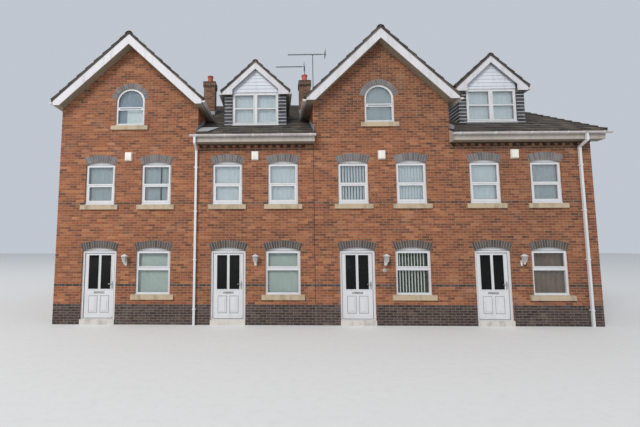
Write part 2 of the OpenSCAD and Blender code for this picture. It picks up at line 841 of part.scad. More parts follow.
// How far a gable's rafters reach from its ridge, above the soffit and inside the fascia
function gable_deck(i) = floor(min(gable_box(i) - fascia_t,
    (gable_top(i) - gable_t - gable_foot_z(i) - soffit_t - clear) / gable_slope(i)));

module gable_slopes(side) for (i = gabled) difference() {
    cross_slope(gable_c(i), gable_top(i), gable_slope(i), gable_t, side, gable_tile(i), gable_deck(i),
        -verge_out - verge_tile_out, barge_t - verge_out);
    above_rear();
}

module dormer_slopes(side) for (i = eaved)
    cross_slope(dormer_c(i), dormer_top(i), dormer_slope, dormer_t, side, dormer_tile(i), dormer_deck(i),
        dormer_y - dormer_barge_y - verge_tile_out, dormer_y - dormer_barge_y + barge_t);

module gable_roofs_left() color(tiles) in_row() gable_slopes(-1);

module gable_roofs_right() color(tiles) in_row() gable_slopes(1);

module dormer_roofs_left() color(tiles) in_row() dormer_slopes(-1);

module dormer_roofs_right() color(tiles) in_row() dormer_slopes(1);

// Half-round ridge tiles bedded on the slopes
ridge_r = 120;

module ridge_tiles() color("#57504a") in_row() {
    drop = 85;
    small_r = 95;
    small_drop = 65;
    end_x = end_out + verge_tile_out;
    difference() {
        union() {
            translate([-end_x, ridge_y, ridge_z - drop]) rotate([0, 90, 0])
                cylinder(h = row_l + 2 * end_x, r = ridge_r, $fn = 64);
            for (i = gabled) bar_y(gable_c(i), gable_top(i) - drop, ridge_r, -verge_out - verge_tile_out,
                ridge_y - ridge_r - 5 - (gable_top(i) - ridge_z), 64);
        }
        below_main(-clear);
        for (i = gabled)
            prism_y(-far, ridge_y, pitched(gable_c(i), gable_top(i), gable_slope(i), far, -clear));
    }
    for (i = eaved) difference() {
        bar_y(dormer_c(i), dormer_top(i) - small_drop, small_r, dormer_y - dormer_barge_y - verge_tile_out,
            ridge_y, 64);
        below_main(-clear);
        prism_y(-far, ridge_y + 1, pitched(dormer_c(i), dormer_top(i), dormer_slope, far / 2, -clear));
    }
}

// Half of a bargeboard with its boxed foot, as an outline in x and z
function barge_outline(c, side, top_z, slope, depth_v, box_half, foot_half, foot_z) = [
    [c + side * clear, top_z - tile_t - clear],
    [c + side * box_half, top_z - tile_t - clear - slope * box_half],
    [c + side * box_half, foot_z], [c + side * foot_half, foot_z],
    [c + side * foot_half, top_z - depth_v - slope * foot_half], [c + side * clear, top_z - depth_v]
];

function gable_foot_z(i) = gable_top(i) - barge_depth - gable_slope(i) * gable_foot(i) - 1;

// The boards on the end gables follow the main roof from the front eaves and the rear eaves to the ridge
module end_barges() {
    start = -fascia_y;
    half = [
        [start, fascia_bottom_z], [start, main_top(start) - tile_t - clear],
        [ridge_y - clear, main_top(ridge_y) - tile_t - 2 * clear], [ridge_y - clear, ridge_z - 260],
        [0, fascia_bottom_z]
    ];
    for (x = [-end_out, row_l + end_out - barge_t]) {
        on_rear() prism_x(x, x + barge_t, half);
        difference() {
            prism_x(x, x + barge_t, half);
            if (x < 0) box(x - 1, 0, -far, valley_y, 0, ridge_z);
        }
    }
}

module bargeboards() color(upvc) in_row() {
    for (i = gabled) for (side = [-1, 1]) prism_y(-verge_out, barge_t - verge_out,
        barge_outline(gable_c(i), side, gable_top(i), gable_slope(i), barge_depth, gable_box(i),
            gable_foot(i), gable_foot_z(i)));
    for (i = eaved) for (side = [-1, 1])
        prism_y(dormer_y - dormer_barge_y, dormer_y - dormer_barge_y + barge_t,
            barge_outline(dormer_c(i), side, dormer_top(i), dormer_slope, dormer_barge_depth, dormer_box(i),
                dormer_window_half(i), dormer_box_z(i)));
    end_barges();
}

// Board that closes the boxed eaves at x
module eaves_end(x) {
    end_t = 12;
    prism_x(x, x + end_t, [
        [-fascia_y, fascia_bottom_z], [-fascia_y, main_top(-fascia_y) - tile_t - clear],
        [-clear, main_top(-clear) - tile_t - clear], [-clear, fascia_bottom_z]
    ]);
}

module fascias() color("#efe9da") in_row() {
    front_z = main_top(-fascia_y) - tile_t - clear;
    for (x = [bay_x0[1] - 13, bay_x1[1] + 1, bay_x0[3] - 13]) eaves_end(x);
    box(bay_x0[1], bay_x1[1], -fascia_y, fascia_t - fascia_y, fascia_bottom_z, front_z);
    box(bay_x0[3], row_l + end_out - barge_t, -fascia_y, fascia_t - fascia_y, fascia_bottom_z, front_z);
    box(barge_t - end_out, row_l + end_out - barge_t, depth + fascia_y - fascia_t, depth + fascia_y,
        fascia_bottom_z, front_z);
    for (i = gabled) for (side = [-1, 1]) {
        x = gable_c(i) + side * (gable_box(i) - fascia_t / 2);
        top = gable_top(i) - tile_t - clear - gable_slope(i) * gable_box(i);
        difference() {
            box(x - fascia_t / 2, x + fascia_t / 2, barge_t - verge_out, ridge_y, gable_foot_z(i), top);
            below_main(-clear);
        }
    }
    for (i = eaved) for (side = [-1, 1]) {
        x = dormer_c(i) + side * (dormer_box(i) - fascia_t / 2);
        top = dormer_top(i) - tile_t - clear - dormer_slope * dormer_box(i);
        difference() {
            box(x - fascia_t / 2, x + fascia_t / 2, dormer_y - dormer_barge_y + barge_t, ridge_y,
                dormer_box_z(i), top);
            below_main(-clear);
        }
    }
}

module soffits() color("#cdbf9f") in_row() {
    board = soffit_t;
    for (e = [[bay_x0[1], bay_x1[1]], [bay_x0[3], row_l + end_out - barge_t]])
        box(e[0], e[1], fascia_t - fascia_y, 0, fascia_bottom_z, fascia_bottom_z + board);
    box(barge_t - end_out, row_l + end_out - barge_t, depth, depth + fascia_y - fascia_t,
        fascia_bottom_z, fascia_bottom_z + board);
    for (i = gabled) for (side = [-1, 1]) {
        y0 = barge_t - verge_out;
        foot = gable_c(i) + side * gable_foot(i);
        wall = gable_c(i) + side * gable_half(i);
        edge = gable_c(i) + side * (gable_box(i) - fascia_t);
        difference() {
            translate([0, 0, gable_foot_z(i)]) linear_extrude(board) polygon([
                [foot, y0], [edge, y0], [edge, ridge_y], [wall, ridge_y], [wall, 0], [foot, 0]
            ]);
            below_main(-clear);
        }
        under = gable_top(i) - barge_depth + board;
        prism_y(y0, 0, [
            [gable_c(i) + side * clear, under + 18], [foot, gable_foot_z(i) + board + 19],
            [foot, gable_foot_z(i) + board + 1], [gable_c(i) + side * clear, under]
        ]);
    }
    for (i = eaved) for (side = [-1, 1]) difference() {
        xa = dormer_c(i) + side * dormer_half(i);
        xb = dormer_c(i) + side * (dormer_box(i) - fascia_t);
        box(min(xa, xb), max(xa, xb), dormer_y - dormer_barge_y + barge_t, ridge_y, dormer_box_z(i),
            dormer_box_z(i) + board);
        below_main(-clear);
    }
}

// Rainwater goods

// Half-round gutter along x, closed at both ends, with its back against a fascia at y
module gutter_x(x0, x1, y, z) {
    difference() {
        translate([x0, y - gutter_r, z]) rotate([0, 90, 0]) cylinder(h = x1 - x0, r = gutter_r, $fn = 32);
        translate([x0 + gutter_t, y - gutter_r, z]) rotate([0, 90, 0])
            cylinder(h = x1 - x0 - 2 * gutter_t, r = gutter_r - gutter_t, $fn = 32);
        box(x0 - 1, x1 + 1, y - 2 * gutter_r - 1, y + 1, z, z + gutter_r + 1);
    }
}

// Half-round gutter along y, closed at both ends
module gutter_y(x, y0, y1, z) {
    difference() {
        bar_y(x, z, gutter_r, y0, y1, 32);
        bar_y(x, z, gutter_r - gutter_t, y0 + gutter_t, y1 - gutter_t, 32);
        box(x - gutter_r - 1, x + gutter_r + 1, y0 - 1, y1 + 1, z, z + gutter_r + 1);
    }
}

gutter_z = main_top(-eaves_out) - tile_t - 5;

module gutters() color("#e6e4de") in_row() {
    past = 50;
    end_past = 130;
    gutter_x(bay_x0[1] - 180, bay_x1[1] + past, -fascia_y, gutter_z);
    gutter_x(bay_x0[3] - past, row_l + end_out + end_past, -fascia_y, gutter_z);
    on_rear() gutter_x(-end_out - end_past, row_l + end_out + end_past, -fascia_y, gutter_z);
    for (i = gabled) for (side = [-1, 1]) {
        z = gable_top(i) - tile_t - gable_slope(i) * gable_tile(i) - 5;
        difference() {
            gutter_y(gable_c(i) + side * (gable_box(i) + gutter_r), -verge_out, gable_valley_y(i), z);
            below_main(-clear);
        }
    }
    for (i = eaved) for (side = [-1, 1]) {
        z = dormer_top(i) - tile_t - dormer_slope * dormer_tile(i) - 5;
        difference() {
            gutter_y(dormer_c(i) + side * (dormer_box(i) + gutter_r), dormer_y - dormer_barge_y, 2900, z);
            below_main(-clear);
        }
    }
}

// Square downpipe with a swan neck from the gutter back to the wall
pipe_w = 65;
pipe_gap = 30;
pipe_x = [house_1_w - 25, row_l - 365];

module pipe_length(x, y, w, z0, z1) {
    box(x - w / 2, x + w / 2, y - w / 2, y + w / 2, z0, z1);
}

module downpipe(x) {
    wall_y = -pipe_gap - pipe_w / 2;
    out_y = -fascia_y - gutter_r;
    neck_z = 5270;
    drop_z = 5392;
    run = wall_y - out_y;
    rise = drop_z - neck_z;
    neck_w = pipe_w - 6;
    pipe_length(x, wall_y, pipe_w, 0, neck_z);
    pipe_length(x, out_y, pipe_w, drop_z, gutter_z - gutter_r - clear);
    pipe_length(x, wall_y, pipe_w + 8, neck_z - 90, neck_z - 20);
    pipe_length(x, out_y, pipe_w + 8, drop_z + 20, drop_z + 60);
    translate([x, wall_y, neck_z]) rotate([atan2(run, rise), 0, 0])
        translate([-neck_w / 2, -neck_w / 2, -20]) cube([neck_w, neck_w, sqrt(run * run + rise * rise) + 40]);
}

module downpipes() color("#ecebe6") in_row() for (x = pipe_x) downpipe(x);

// Dormers

module dormer_walls() color("#c9b48c") in_row() for (i = eaved) difference() {
    y0 = dormer_y + dormer_skin;
    half = dormer_half(i) - dormer_skin;
    inner = half - dormer_wall_t;
    prism_y(y0, ridge_y, pitched(dormer_c(i), dormer_top(i), dormer_slope, half, dormer_t + clear));
    box(dormer_c(i) - inner, dormer_c(i) + inner, y0 + dormer_wall_t, ridge_y + 1, -1, dormer_top(i));
    box(dormer_c(i) - dormer_window_half(i), dormer_c(i) + dormer_window_half(i), y0 - 1,
        y0 + dormer_wall_t + 1, dormer_sill(i), dormer_sill(i) + dormer_window_h);
    below_main(-clear);
}

// Hung tiles on the cheeks and on the front beside the window
module dormer_tile_hanging() color("#3c3f43") in_row() for (i = eaved) for (side = [-1, 1]) difference() {
    edge = dormer_c(i) + side * dormer_half(i);
    inner = dormer_c(i) + side * dormer_window_half(i);
    cheek = edge - side * dormer_skin;
    union() {
        box(min(edge, inner), max(edge, inner), dormer_y, dormer_y + dormer_skin, 0, dormer_box_z(i));
        box(min(edge, cheek), max(edge, cheek), dormer_y + dormer_skin, ridge_y, 0, dormer_box_z(i));
    }
    below_main(-clear);
}

module dormer_shiplap() color("#eef0f0") in_row() for (i = eaved) {
    half = dormer_window_half(i);
    base_z = dormer_sill(i) + dormer_window_h;
    top = dormer_top(i) - dormer_t - clear;
    prism_y(dormer_y + 8, dormer_y + dormer_skin, [
        [dormer_c(i) - half, base_z], [dormer_c(i) + half, base_z],
        [dormer_c(i) + half, top - dormer_slope * half], [dormer_c(i), top],
        [dormer_c(i) - half, top - dormer_slope * half]
    ]);
}

lead_t = 6;
apron_h = 150;

// Underside of the lead on the main slope
function lead_z(y) = main_top(y) + clear;

// Lead from y0 to y1 that follows the main slope and is h high
module slope_lead(x0, x1, y0, y1, h) {
    prism_x(x0, x1, [[y0, lead_z(y0)], [y0, lead_z(y0) + h], [y1, lead_z(y1) + h], [y1, lead_z(y1)]]);
}

module dormer_apron(i) {
    half = dormer_half(i) + 80;
    slope_lead(dormer_c(i) - half, dormer_c(i) + half, dormer_y - 200, dormer_y, lead_t);
    prism_x(dormer_c(i) - dormer_window_half(i), dormer_c(i) + dormer_window_half(i), [
        [dormer_y, lead_z(dormer_y)], [dormer_y + 20, lead_z(dormer_y + 20)],
        [dormer_y + 20, dormer_sill(i) - clear], [dormer_y, dormer_sill(i) - clear]
    ]);
}

module stack_lead(x) {
    half = stack_w / 2;
    y0 = stack_y - half;
    slope_lead(x - half - lead_t, x - half, y0, stack_y + half, apron_h);
    slope_lead(x + half, x + half + lead_t, y0, stack_y + half, apron_h);
    box(x - half - lead_t, x + half + lead_t, y0 - lead_t, y0, lead_z(y0), lead_z(y0) + apron_h);
    slope_lead(x - half, x + half, y0 - 120, y0 - lead_t, lead_t);
}

// Lead against the side walls of the gables, up to their boxed feet
module abutment_lead(x0) {
    y1 = (gable_foot_z(0) - apron_h - 40 - eaves_z) / main_slope - eaves_out;
    slope_lead(x0, x0 + lead_t, -fascia_y, y1, apron_h);
}

module lead_flashings() color("#7b8085") in_row() {
    for (i = eaved) dormer_apron(i);
    for (x = stack_x) stack_lead(x);
    abutment_lead(bay_x0[1]);
    abutment_lead(bay_x1[1] - lead_t);
    abutment_lead(bay_x0[3]);
}

// Brick details

// Dentil course of header bricks under the soffit
module dentil_courses() color("#8a4a3c") in_row() for (i = eaved) {
    proud = 30;
    header = 103;
    pitch = 225;
    z1 = fascia_bottom_z;
    header_z = 5325;
    count = floor((bay_x1[i] - bay_x0[i]) / pitch);
    box(bay_x0[i], bay_x1[i], -proud, 0, z1 - 22, z1);
    for (k = [0 : count - 1]) {
        x = bay_x0[i] + pitch * (k + 0.25);
        box(x, x + header, -proud, 0, header_z, z1 - 22);
    }
}

module chimney_stacks() color(brick) in_row() for (x = stack_x) {
    half = stack_w / 2;
    oversail = 30;
    cap_h = 225;
    box(x - half, x + half, stack_y - half, stack_y + half, stack_base_z, stack_top_z - cap_h);
    box(x - half - oversail, x + half + oversail, stack_y - half - oversail, stack_y + half + oversail,
        stack_top_z - cap_h, stack_top_z);
}

module chimney_pots() color("#b8553a") in_row() for (x = stack_x)
    translate([x, stack_y, stack_top_z]) rotate_extrude($fn = 48) polygon([
        [80, 0], [125, 0], [122, 45], [110, 65], [104, 245], [118, 258], [122, 300], [95, 300], [90, 65]
    ]);

// One aerial: a mast with a boom of rods along the row
module aerial(x, y, z0, z1, boom_l, back, rods, spacing) {
    translate([x, y, z0]) cylinder(h = z1 - z0, r = 16, $fn = 16);
    box(x - back, x - back + boom_l, y - 9, y + 9, z1 - 9, z1 + 9);
    for (k = [0 : rods - 1]) {
        rx = x - back + 10 + spacing * k;
        box(rx, rx + 8, y - 80, y + 80, z1 - 4, z1 + 4);
    }
    rx = x - back + boom_l - 60;
    box(rx, rx + 8, y - 150, y + 150, z1 - 150, z1 + 150);
}

module tv_aerials() color("#9aa0a5") in_row() {
    back_y = stack_y + stack_w / 2;
    aerial(stack_x[1] + 35, back_y + 46, 8600, 9840, 1230, 1195, 15, 75);
    aerial(stack_x[1] + 380, back_y + 46, 8500, 10370, 1610, 1035, 19, 75);
    for (z = [8640, 8760]) box(stack_x[1], stack_x[1] + 396, back_y, back_y + 50, z, z + 30);
}

module bell_boxes() color("#efeee6") in_row() for (i = [0 : 3]) {
    w = 230;
    h = 290;
    prism_x(bay_c[i] - w / 2, bay_c[i] + w / 2, [
        [0, bell_z], [-60, bell_z], [-82, bell_z + 40],
        [-82, bell_z + h - 60], [-60, bell_z + h], [0, bell_z + h]
    ]);
}

// Wall lantern: a plate, a bracket and a glazed body under a pitched cap
module lantern(x) {
    body_y = -140;
    box(x - 35, x + 35, -12, 0, lantern_z, lantern_z + 160);
    box(x - 9, x + 9, body_y, -12, lantern_z + 60, lantern_z + 78);
    box(x - 12, x + 12, body_y - 12, body_y + 12, lantern_z + 40, lantern_z + 110);
    translate([x, body_y, lantern_z + 110]) cylinder(h = 170, r1 = 58, r2 = 84, $fn = 48);
    translate([x, body_y, lantern_z + 280]) cylinder(h = 60, r1 = 100, r2 = 26, $fn = 48);
}

module wall_lanterns() color("#eeede8") in_row() for (i = [0 : 3]) lantern(bay_c[i] + 20);

front_wall_lower();
front_walls_gabled();
front_walls_eaved();
end_walls();
rear_wall_lower();
rear_wall_upper();
party_walls();
ground_floor();
first_floor();
attic_floor();
thresholds();
brick_arches();
window_sills();
arch_panels();
ground_window_frames();
first_window_frames();
gable_window_frames();
dormer_window_frames();
window_glass();
roof_window_glass();
door_frames();
door_hinges();
door_leaf(0);  // door_1_leaf
door_leaf(1);  // door_2_leaf
door_leaf(2);  // door_3_leaf
door_leaf(3);  // door_4_leaf
door_glass(0);  // door_1_glass
door_glass(1);  // door_2_glass
door_glass(2);  // door_3_glass
door_glass(3);  // door_4_glass
door_furniture(0);  // door_1_furniture
door_furniture(1);  // door_2_furniture
door_furniture(2);  // door_3_furniture
door_furniture(3);  // door_4_furniture
main_roof_front();
main_roof_behind_gables();
main_roof_rear();
gable_roofs_left();
gable_roofs_right();
dormer_roofs_left();
dormer_roofs_right();
ridge_tiles();
bargeboards();
fascias();
soffits();
gutters();
downpipes();
dormer_walls();
dormer_tile_hanging();
dormer_shiplap();
lead_flashings();
dentil_courses();
chimney_stacks();
chimney_pots();
tv_aerials();
bell_boxes();
wall_lanterns();
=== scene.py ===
"""Dresses the terraced row: bricks, tiles, boards, windows, doors and finishes over its solid frame.

The pieces are modelled in street coordinates, in metres: x runs along the row from its left end, y runs
into the building from the front brick face, and z is the height above the ground.
"""

import logging
import math
from contextlib import contextmanager
from dataclasses import dataclass, replace
from enum import Enum
from functools import cache
from typing import Callable, Iterator, Sequence

import bmesh
import bpy
import numpy as np
from mathutils import Matrix, Vector


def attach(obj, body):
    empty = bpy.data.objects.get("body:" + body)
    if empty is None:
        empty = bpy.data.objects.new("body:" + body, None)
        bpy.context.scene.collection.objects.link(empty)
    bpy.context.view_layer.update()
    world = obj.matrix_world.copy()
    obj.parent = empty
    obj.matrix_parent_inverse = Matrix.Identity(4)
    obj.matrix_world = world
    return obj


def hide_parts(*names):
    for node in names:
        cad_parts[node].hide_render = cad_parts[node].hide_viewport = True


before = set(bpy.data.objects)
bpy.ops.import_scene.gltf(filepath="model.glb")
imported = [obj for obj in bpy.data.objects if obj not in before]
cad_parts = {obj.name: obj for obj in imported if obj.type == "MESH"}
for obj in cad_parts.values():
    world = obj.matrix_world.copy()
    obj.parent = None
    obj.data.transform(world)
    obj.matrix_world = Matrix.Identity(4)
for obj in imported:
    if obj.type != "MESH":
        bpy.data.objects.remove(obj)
log = logging.getLogger("terrace")

# An area is the left, right, bottom and top of a rectangle in the plane of a face

Point = tuple[float, float, float]
Area = tuple[float, float, float, float]
Colour = tuple[float, float, float, float]
Stops = tuple[tuple[float, Colour], ...]
Piece = bpy.types.Object
Socket = bpy.types.NodeSocket
Material = bpy.types.Material

# Sizes of the row, the same as the frame's

HOUSES = range(4)
ROW = 16.14
DEPTH = 11.7
EDGES = (0.0, 4.29, 7.85, 11.99, 16.14)
CENTRES = (2.155, 6.065, 9.915, 13.88)
SASH_OFFSETS = (0.868, 0.850, 0.873, 0.900)
DOOR_OFFSET = 0.805
GROUND_WINDOW_OFFSET = 0.838
REVEAL = 0.045
BRICK = 0.225
COURSE = 0.07475
PLINTH_TOP = 0.6
HUNG_COURSE = 0.115
EAVES_Z = 5.705
EAVES_OUT = 0.35
FASCIA_OUT = 0.3
END_OUT = 0.22
TILE_OUT = 0.02
MAIN_PITCH = math.radians(27.5)
MAIN_SLOPE = math.tan(MAIN_PITCH)
RIDGE_Y = DEPTH / 2
RIDGE_Z = EAVES_Z + MAIN_SLOPE * (RIDGE_Y + EAVES_OUT)
MAIN_LENGTH = (RIDGE_Y + EAVES_OUT) / math.cos(MAIN_PITCH)
TILE_END = END_OUT + TILE_OUT
DORMER_Y = 0.8
DORMER_OUT = 0.12
STACKS = (4.02, 7.9)
STACK_Y = 3.55
STACK_HALF = 0.22
STACK_TOP = 9.02
STREET_TO_FRAME = Matrix.Translation((-ROW / 2, -DEPTH / 2, 0.0))


def main_top(y: float) -> float:
    """Height of the main roof's surface, at a distance into the building."""
    return EAVES_Z + MAIN_SLOPE * (min(y, DEPTH - y) + EAVES_OUT)


def main_depth(z: float) -> float:
    """Distance into the building at which the front main slope reaches a height."""
    return (z - EAVES_Z) / MAIN_SLOPE - EAVES_OUT


def main_v(y: float) -> float:
    """Distance up the main slope from its eaves, at a distance into the building."""
    return (y + EAVES_OUT) / math.cos(MAIN_PITCH)


@dataclass(frozen=True)
class Opening:
    """The size of a kind of door or window under a flat arch.

    Attributes:
        half: Half its width.
        sill_half: Half the width of its sill.
        bottom: Bottom of its frame.
        spring: Springing level of its arch.
        rise: Rise of its arch.
        top: Top of the hole behind the arch.
    """

    half: float
    sill_half: float
    bottom: float
    spring: float
    rise: float
    top: float

    def holes(self, middle: float) -> list[Area]:
        """The rectangles that it takes out of the courses, for its sill and for itself."""
        return [(middle - self.sill_half, middle + self.sill_half, self.bottom - SILL, self.bottom),
                (middle - self.half, middle + self.half, self.bottom, self.top)]


# Heights of the hole for a sill, of a gable window's springing over its bottom and of a dormer window

SILL = 0.15
GABLE_SPRING = 0.75
DORMER_WINDOW_HEIGHT = 1.11
DOOR = Opening(0.5225, 0.5225, -0.1, 2.18, 0.09, 2.30)
GROUND = Opening(0.52, 0.64, 0.885, 2.18, 0.09, 2.30)
SASH = Opening(0.455, 0.575, 3.588, 4.83, 0.08, 4.94)


def openings(house: int, rear: bool = False) -> list[tuple[Opening, float]]:
    """Lists the openings of a house below its eaves.

    Args:
        house: The house, counted from 0.
        rear: Whether they are those of the rear, which is measured as seen from behind.

    Returns:
        The size of each opening and the place of its middle along the wall.
    """
    centre = ROW - CENTRES[house] if rear else CENTRES[house]
    if rear:
        lower = [(GROUND, centre - GROUND_WINDOW_OFFSET), (GROUND, centre + GROUND_WINDOW_OFFSET)]
    else:
        lower = [(DOOR, centre - DOOR_OFFSET), (GROUND, centre + GROUND_WINDOW_OFFSET)]
    return lower + [(SASH, centre - SASH_OFFSETS[house]), (SASH, centre + SASH_OFFSETS[house])]


@dataclass(frozen=True)
class CrossRoof:
    """A roof that runs into the main slope, over a gable or a dormer.

    Attributes:
        centre: Place of its ridge along the row.
        top: Height of its ridge.
        pitch: Pitch of its slopes, in degrees.
        half: Half the width of the walls or cheeks below it.
        box: Half the width over its boxed eaves.
        foot: Height of the underside of its boxed eaves.
        window_half: Half the width of its window.
        window_z: Bottom of its window's frame.
        window_left: How far its window lies left of the ridge.
    """

    centre: float
    top: float
    pitch: float
    half: float
    box: float
    foot: float
    window_half: float
    window_z: float
    window_left: float = 0.0

    @property
    def slope(self) -> float:
        """Fall of its slopes."""
        return math.tan(math.radians(self.pitch))

    @property
    def tile(self) -> float:
        """Half the width over its tiles."""
        return self.box + 0.04

    @property
    def window_x(self) -> float:
        """Middle of its window along the row."""
        return self.centre - self.window_left


GABLES = {0: CrossRoof(2.145, 8.957, 42.8, 2.145, 2.298, 6.643, 0.455, 6.08),
          2: CrossRoof(9.92, 9.033, 43.8, 2.07, 2.29, 6.722, 0.455, 6.112, 0.03)}
DORMERS = {1: CrossRoof(6.03, 8.495, 42.9, 1.015, 1.1, 7.33, 0.762, 6.32),
           3: CrossRoof(13.77, 8.607, 42.9, 1.0465, 1.145, 7.37, 0.807, 6.36)}


# Modelling by hand


def activate(*pieces: Piece) -> None:
    """Selects the given pieces alone and makes the first one active.

    Args:
        *pieces: The pieces to select.
    """
    bpy.ops.object.select_all(action="DESELECT")
    for piece in pieces:
        piece.select_set(True)
    bpy.context.view_layer.objects.active = pieces[0]


@contextmanager
def editing(piece: Piece, elements: str = "FACE") -> Iterator[bmesh.types.BMesh]:
    """Opens a piece for edit operators, with nothing selected.

    Args:
        piece: The piece to shape.
        elements: What is selected: VERT or FACE.

    Yields:
        The mesh under edit.
    """
    activate(piece)
    bpy.ops.object.mode_set(mode="EDIT")
    bpy.ops.mesh.select_mode(type=elements)
    bpy.ops.mesh.select_all(action="DESELECT")
    yield bmesh.from_edit_mesh(piece.data)
    bpy.ops.object.mode_set(mode="OBJECT")


def pick(parts: Sequence, wanted: Callable) -> None:
    """Selects the vertices or faces that pass a test.

    Args:
        parts: The parts of the mesh under edit.
        wanted: Says whether a part is selected.
    """
    for part in parts:
        if wanted(part):
            part.select_set(True)


def taper(piece: Piece, side: Point, scale: Point, middle: Point) -> Piece:
    """Scales the faces of a piece that look one way.

    Args:
        piece: The piece to shape.
        side: The way that they look.
        scale: The scale along each axis.
        middle: The point that stays in place.

    Returns:
        The same piece.
    """
    with editing(piece) as mesh:
        pick(mesh.faces, lambda face: face.normal.dot(Vector(side)) > 0.9)
        bpy.ops.transform.resize(value=scale, center_override=middle)
    return piece


def nudge(piece: Piece, wanted: Callable[[Vector], bool], step: Point) -> Piece:
    """Moves some corners of a piece.

    Args:
        piece: The piece to shape.
        wanted: Says from its place whether a corner moves.
        step: The way that they go.

    Returns:
        The same piece.
    """
    with editing(piece, "VERT") as mesh:
        pick(mesh.verts, lambda corner: wanted(corner.co))
        bpy.ops.transform.translate(value=step)
    return piece


def block(low: Point, high: Point) -> Piece:
    """Adds a box to start a piece from.

    Args:
        low: Its lowest corner.
        high: Its highest corner.

    Returns:
        The new piece.
    """
    size = [b - a for a, b in zip(low, high)]
    middle = [(a + b) / 2 for a, b in zip(low, high)]
    bpy.ops.mesh.primitive_cube_add(size=1, location=middle, scale=size)
    bpy.ops.object.transform_apply(location=True, rotation=True, scale=True)
    return bpy.context.object


def rod(radius: float, start: Point, end: Point, sides: int = 16, end_radius: float | None = None) -> Piece:
    """Adds a round bar or a cone between two points.

    Args:
        radius: Its radius at the start.
        start: The middle of one end.
        end: The middle of the other end.
        sides: The number of its sides.
        end_radius: Its radius at the end, if that differs.

    Returns:
        The new piece.
    """
    a, b = Vector(start), Vector(end)
    bpy.ops.mesh.primitive_cone_add(
        vertices=sides, radius1=radius, radius2=radius if end_radius is None else end_radius,
        depth=(b - a).length, location=(a + b) / 2, rotation=(b - a).to_track_quat("Z", "Y").to_euler())
    bpy.ops.object.transform_apply(location=True, rotation=True, scale=True)
    return bpy.context.object


def bevel(piece: Piece, width: float, segments: int = 1) -> Piece:
    """Rounds a piece's sharp edges.

    Args:
        piece: The piece to round.
        width: Width of the rounding.
        segments: The number of its steps.

    Returns:
        The same piece.
    """
    activate(piece)
    modifier = piece.modifiers.new("arris", "BEVEL")
    modifier.width = width
    modifier.segments = segments
    modifier.limit_method = "ANGLE"
    bpy.ops.object.modifier_apply(modifier=modifier.name)
    return piece


def repeat(piece: Piece, count: int, step: Point) -> Piece:
    """Repeats a piece in a straight row.

    Args:
        piece: The first of the row.
        count: How many there are in all.
        step: The way from each to the next.

    Returns:
        The same piece, with its copies in its mesh.
    """
    if count > 1:
        activate(piece)
        modifier = piece.modifiers.new("row", "ARRAY")
        modifier.count = count
        modifier.use_relative_offset = False
        modifier.use_constant_offset = True
        modifier.constant_offset_displace = step
        bpy.ops.object.modifier_apply(modifier=modifier.name)
    return piece


def move(piece: Piece, step: Point) -> Piece:
    """Shifts a piece within its mesh."""
    piece.data.transform(Matrix.Translation(step))
    return piece


def cut(piece: Piece, at: Point, away: Point) -> Piece:
    """Cuts a piece along a plane and closes the cut.

    Args:
        piece: The piece to cut.
        at: A point of the plane.
        away: The direction of the side that goes.

    Returns:
        The same piece.
    """
    normal = Vector(away).normalized()
    reach = max(((vertex.co - Vector(at)).dot(normal) for vertex in piece.data.vertices), default=0.0)
    if reach > 1e-5:
        with editing(piece):
            bpy.ops.mesh.select_all(action="SELECT")
            bpy.ops.mesh.bisect(plane_co=at, plane_no=normal, use_fill=True, clear_outer=True)
    return piece


def copy(piece: Piece) -> Piece:
    """Copies a piece with a mesh of its own.

    Args:
        piece: The piece to copy.

    Returns:
        The copy.
    """
    activate(piece)
    bpy.ops.object.duplicate()
    return bpy.context.object


def copy_to(piece: Piece, places: Sequence[Matrix]) -> list[Piece]:
    """Copies a piece to several places and removes the pattern.

    Args:
        piece: The pattern.
        places: Where the copies go.

    Returns:
        The copies.
    """
    copies = []
    for place in places:
        twin = copy(piece)
        twin.data.transform(place)
        copies.append(twin)
    bpy.data.objects.remove(piece)
    return copies


def join(pieces: Sequence[Piece]) -> Piece:
    """Joins pieces into one.

    Args:
        pieces: The pieces to join.

    Returns:
        The joined piece.
    """
    activate(*pieces)
    if len(pieces) > 1:
        bpy.ops.object.join()
    return pieces[0]


def casing(left: float, right: float, bottom: float, top: float, member: float, face: float,
           depth: float, arris: float = 0.003) -> Piece:
    """Models a mitred rectangular frame that faces the street.

    Args:
        left: Its left edge.
        right: Its right edge.
        bottom: Its bottom edge.
        top: Its top edge.
        member: Width of its members.
        face: How far into the building its front lies.
        depth: Its depth behind that.
        arris: Width of the rounding of its edges.

    Returns:
        The new piece.
    """
    bpy.ops.mesh.primitive_plane_add(
        size=1, location=((left + right) / 2, face + depth, (bottom + top) / 2), rotation=(math.pi / 2, 0, 0))
    piece = bpy.context.object
    piece.scale = (right - left, top - bottom, 1)
    bpy.ops.object.transform_apply(location=True, rotation=True, scale=True)
    with editing(piece):
        bpy.ops.mesh.select_all(action="SELECT")
        bpy.ops.mesh.inset(thickness=member, depth=0)
        bpy.ops.mesh.delete(type="FACE")
        bpy.ops.mesh.select_all(action="SELECT")
        bpy.ops.mesh.extrude_region_move(TRANSFORM_OT_translate={"value": (0, -depth, 0)})
    return bevel(piece, arris)


def smooth(piece: Piece, angle: float = 40) -> Piece:
    """Shades a piece smooth except over sharp edges.

    Args:
        piece: The piece to shade.
        angle: Edges sharper than this many degrees stay sharp.

    Returns:
        The same piece.
    """
    activate(piece)
    bpy.ops.object.shade_smooth_by_angle(angle=math.radians(angle))
    return piece


# Values that the faces carry


def face_centres(piece: Piece) -> np.ndarray:
    """Reads the middles of a piece's faces.

    Args:
        piece: The piece.

    Returns:
        The x, y and z of each face.
    """
    centres = np.empty(len(piece.data.polygons) * 3)
    piece.data.polygons.foreach_get("center", centres)
    return centres.reshape(-1, 3)


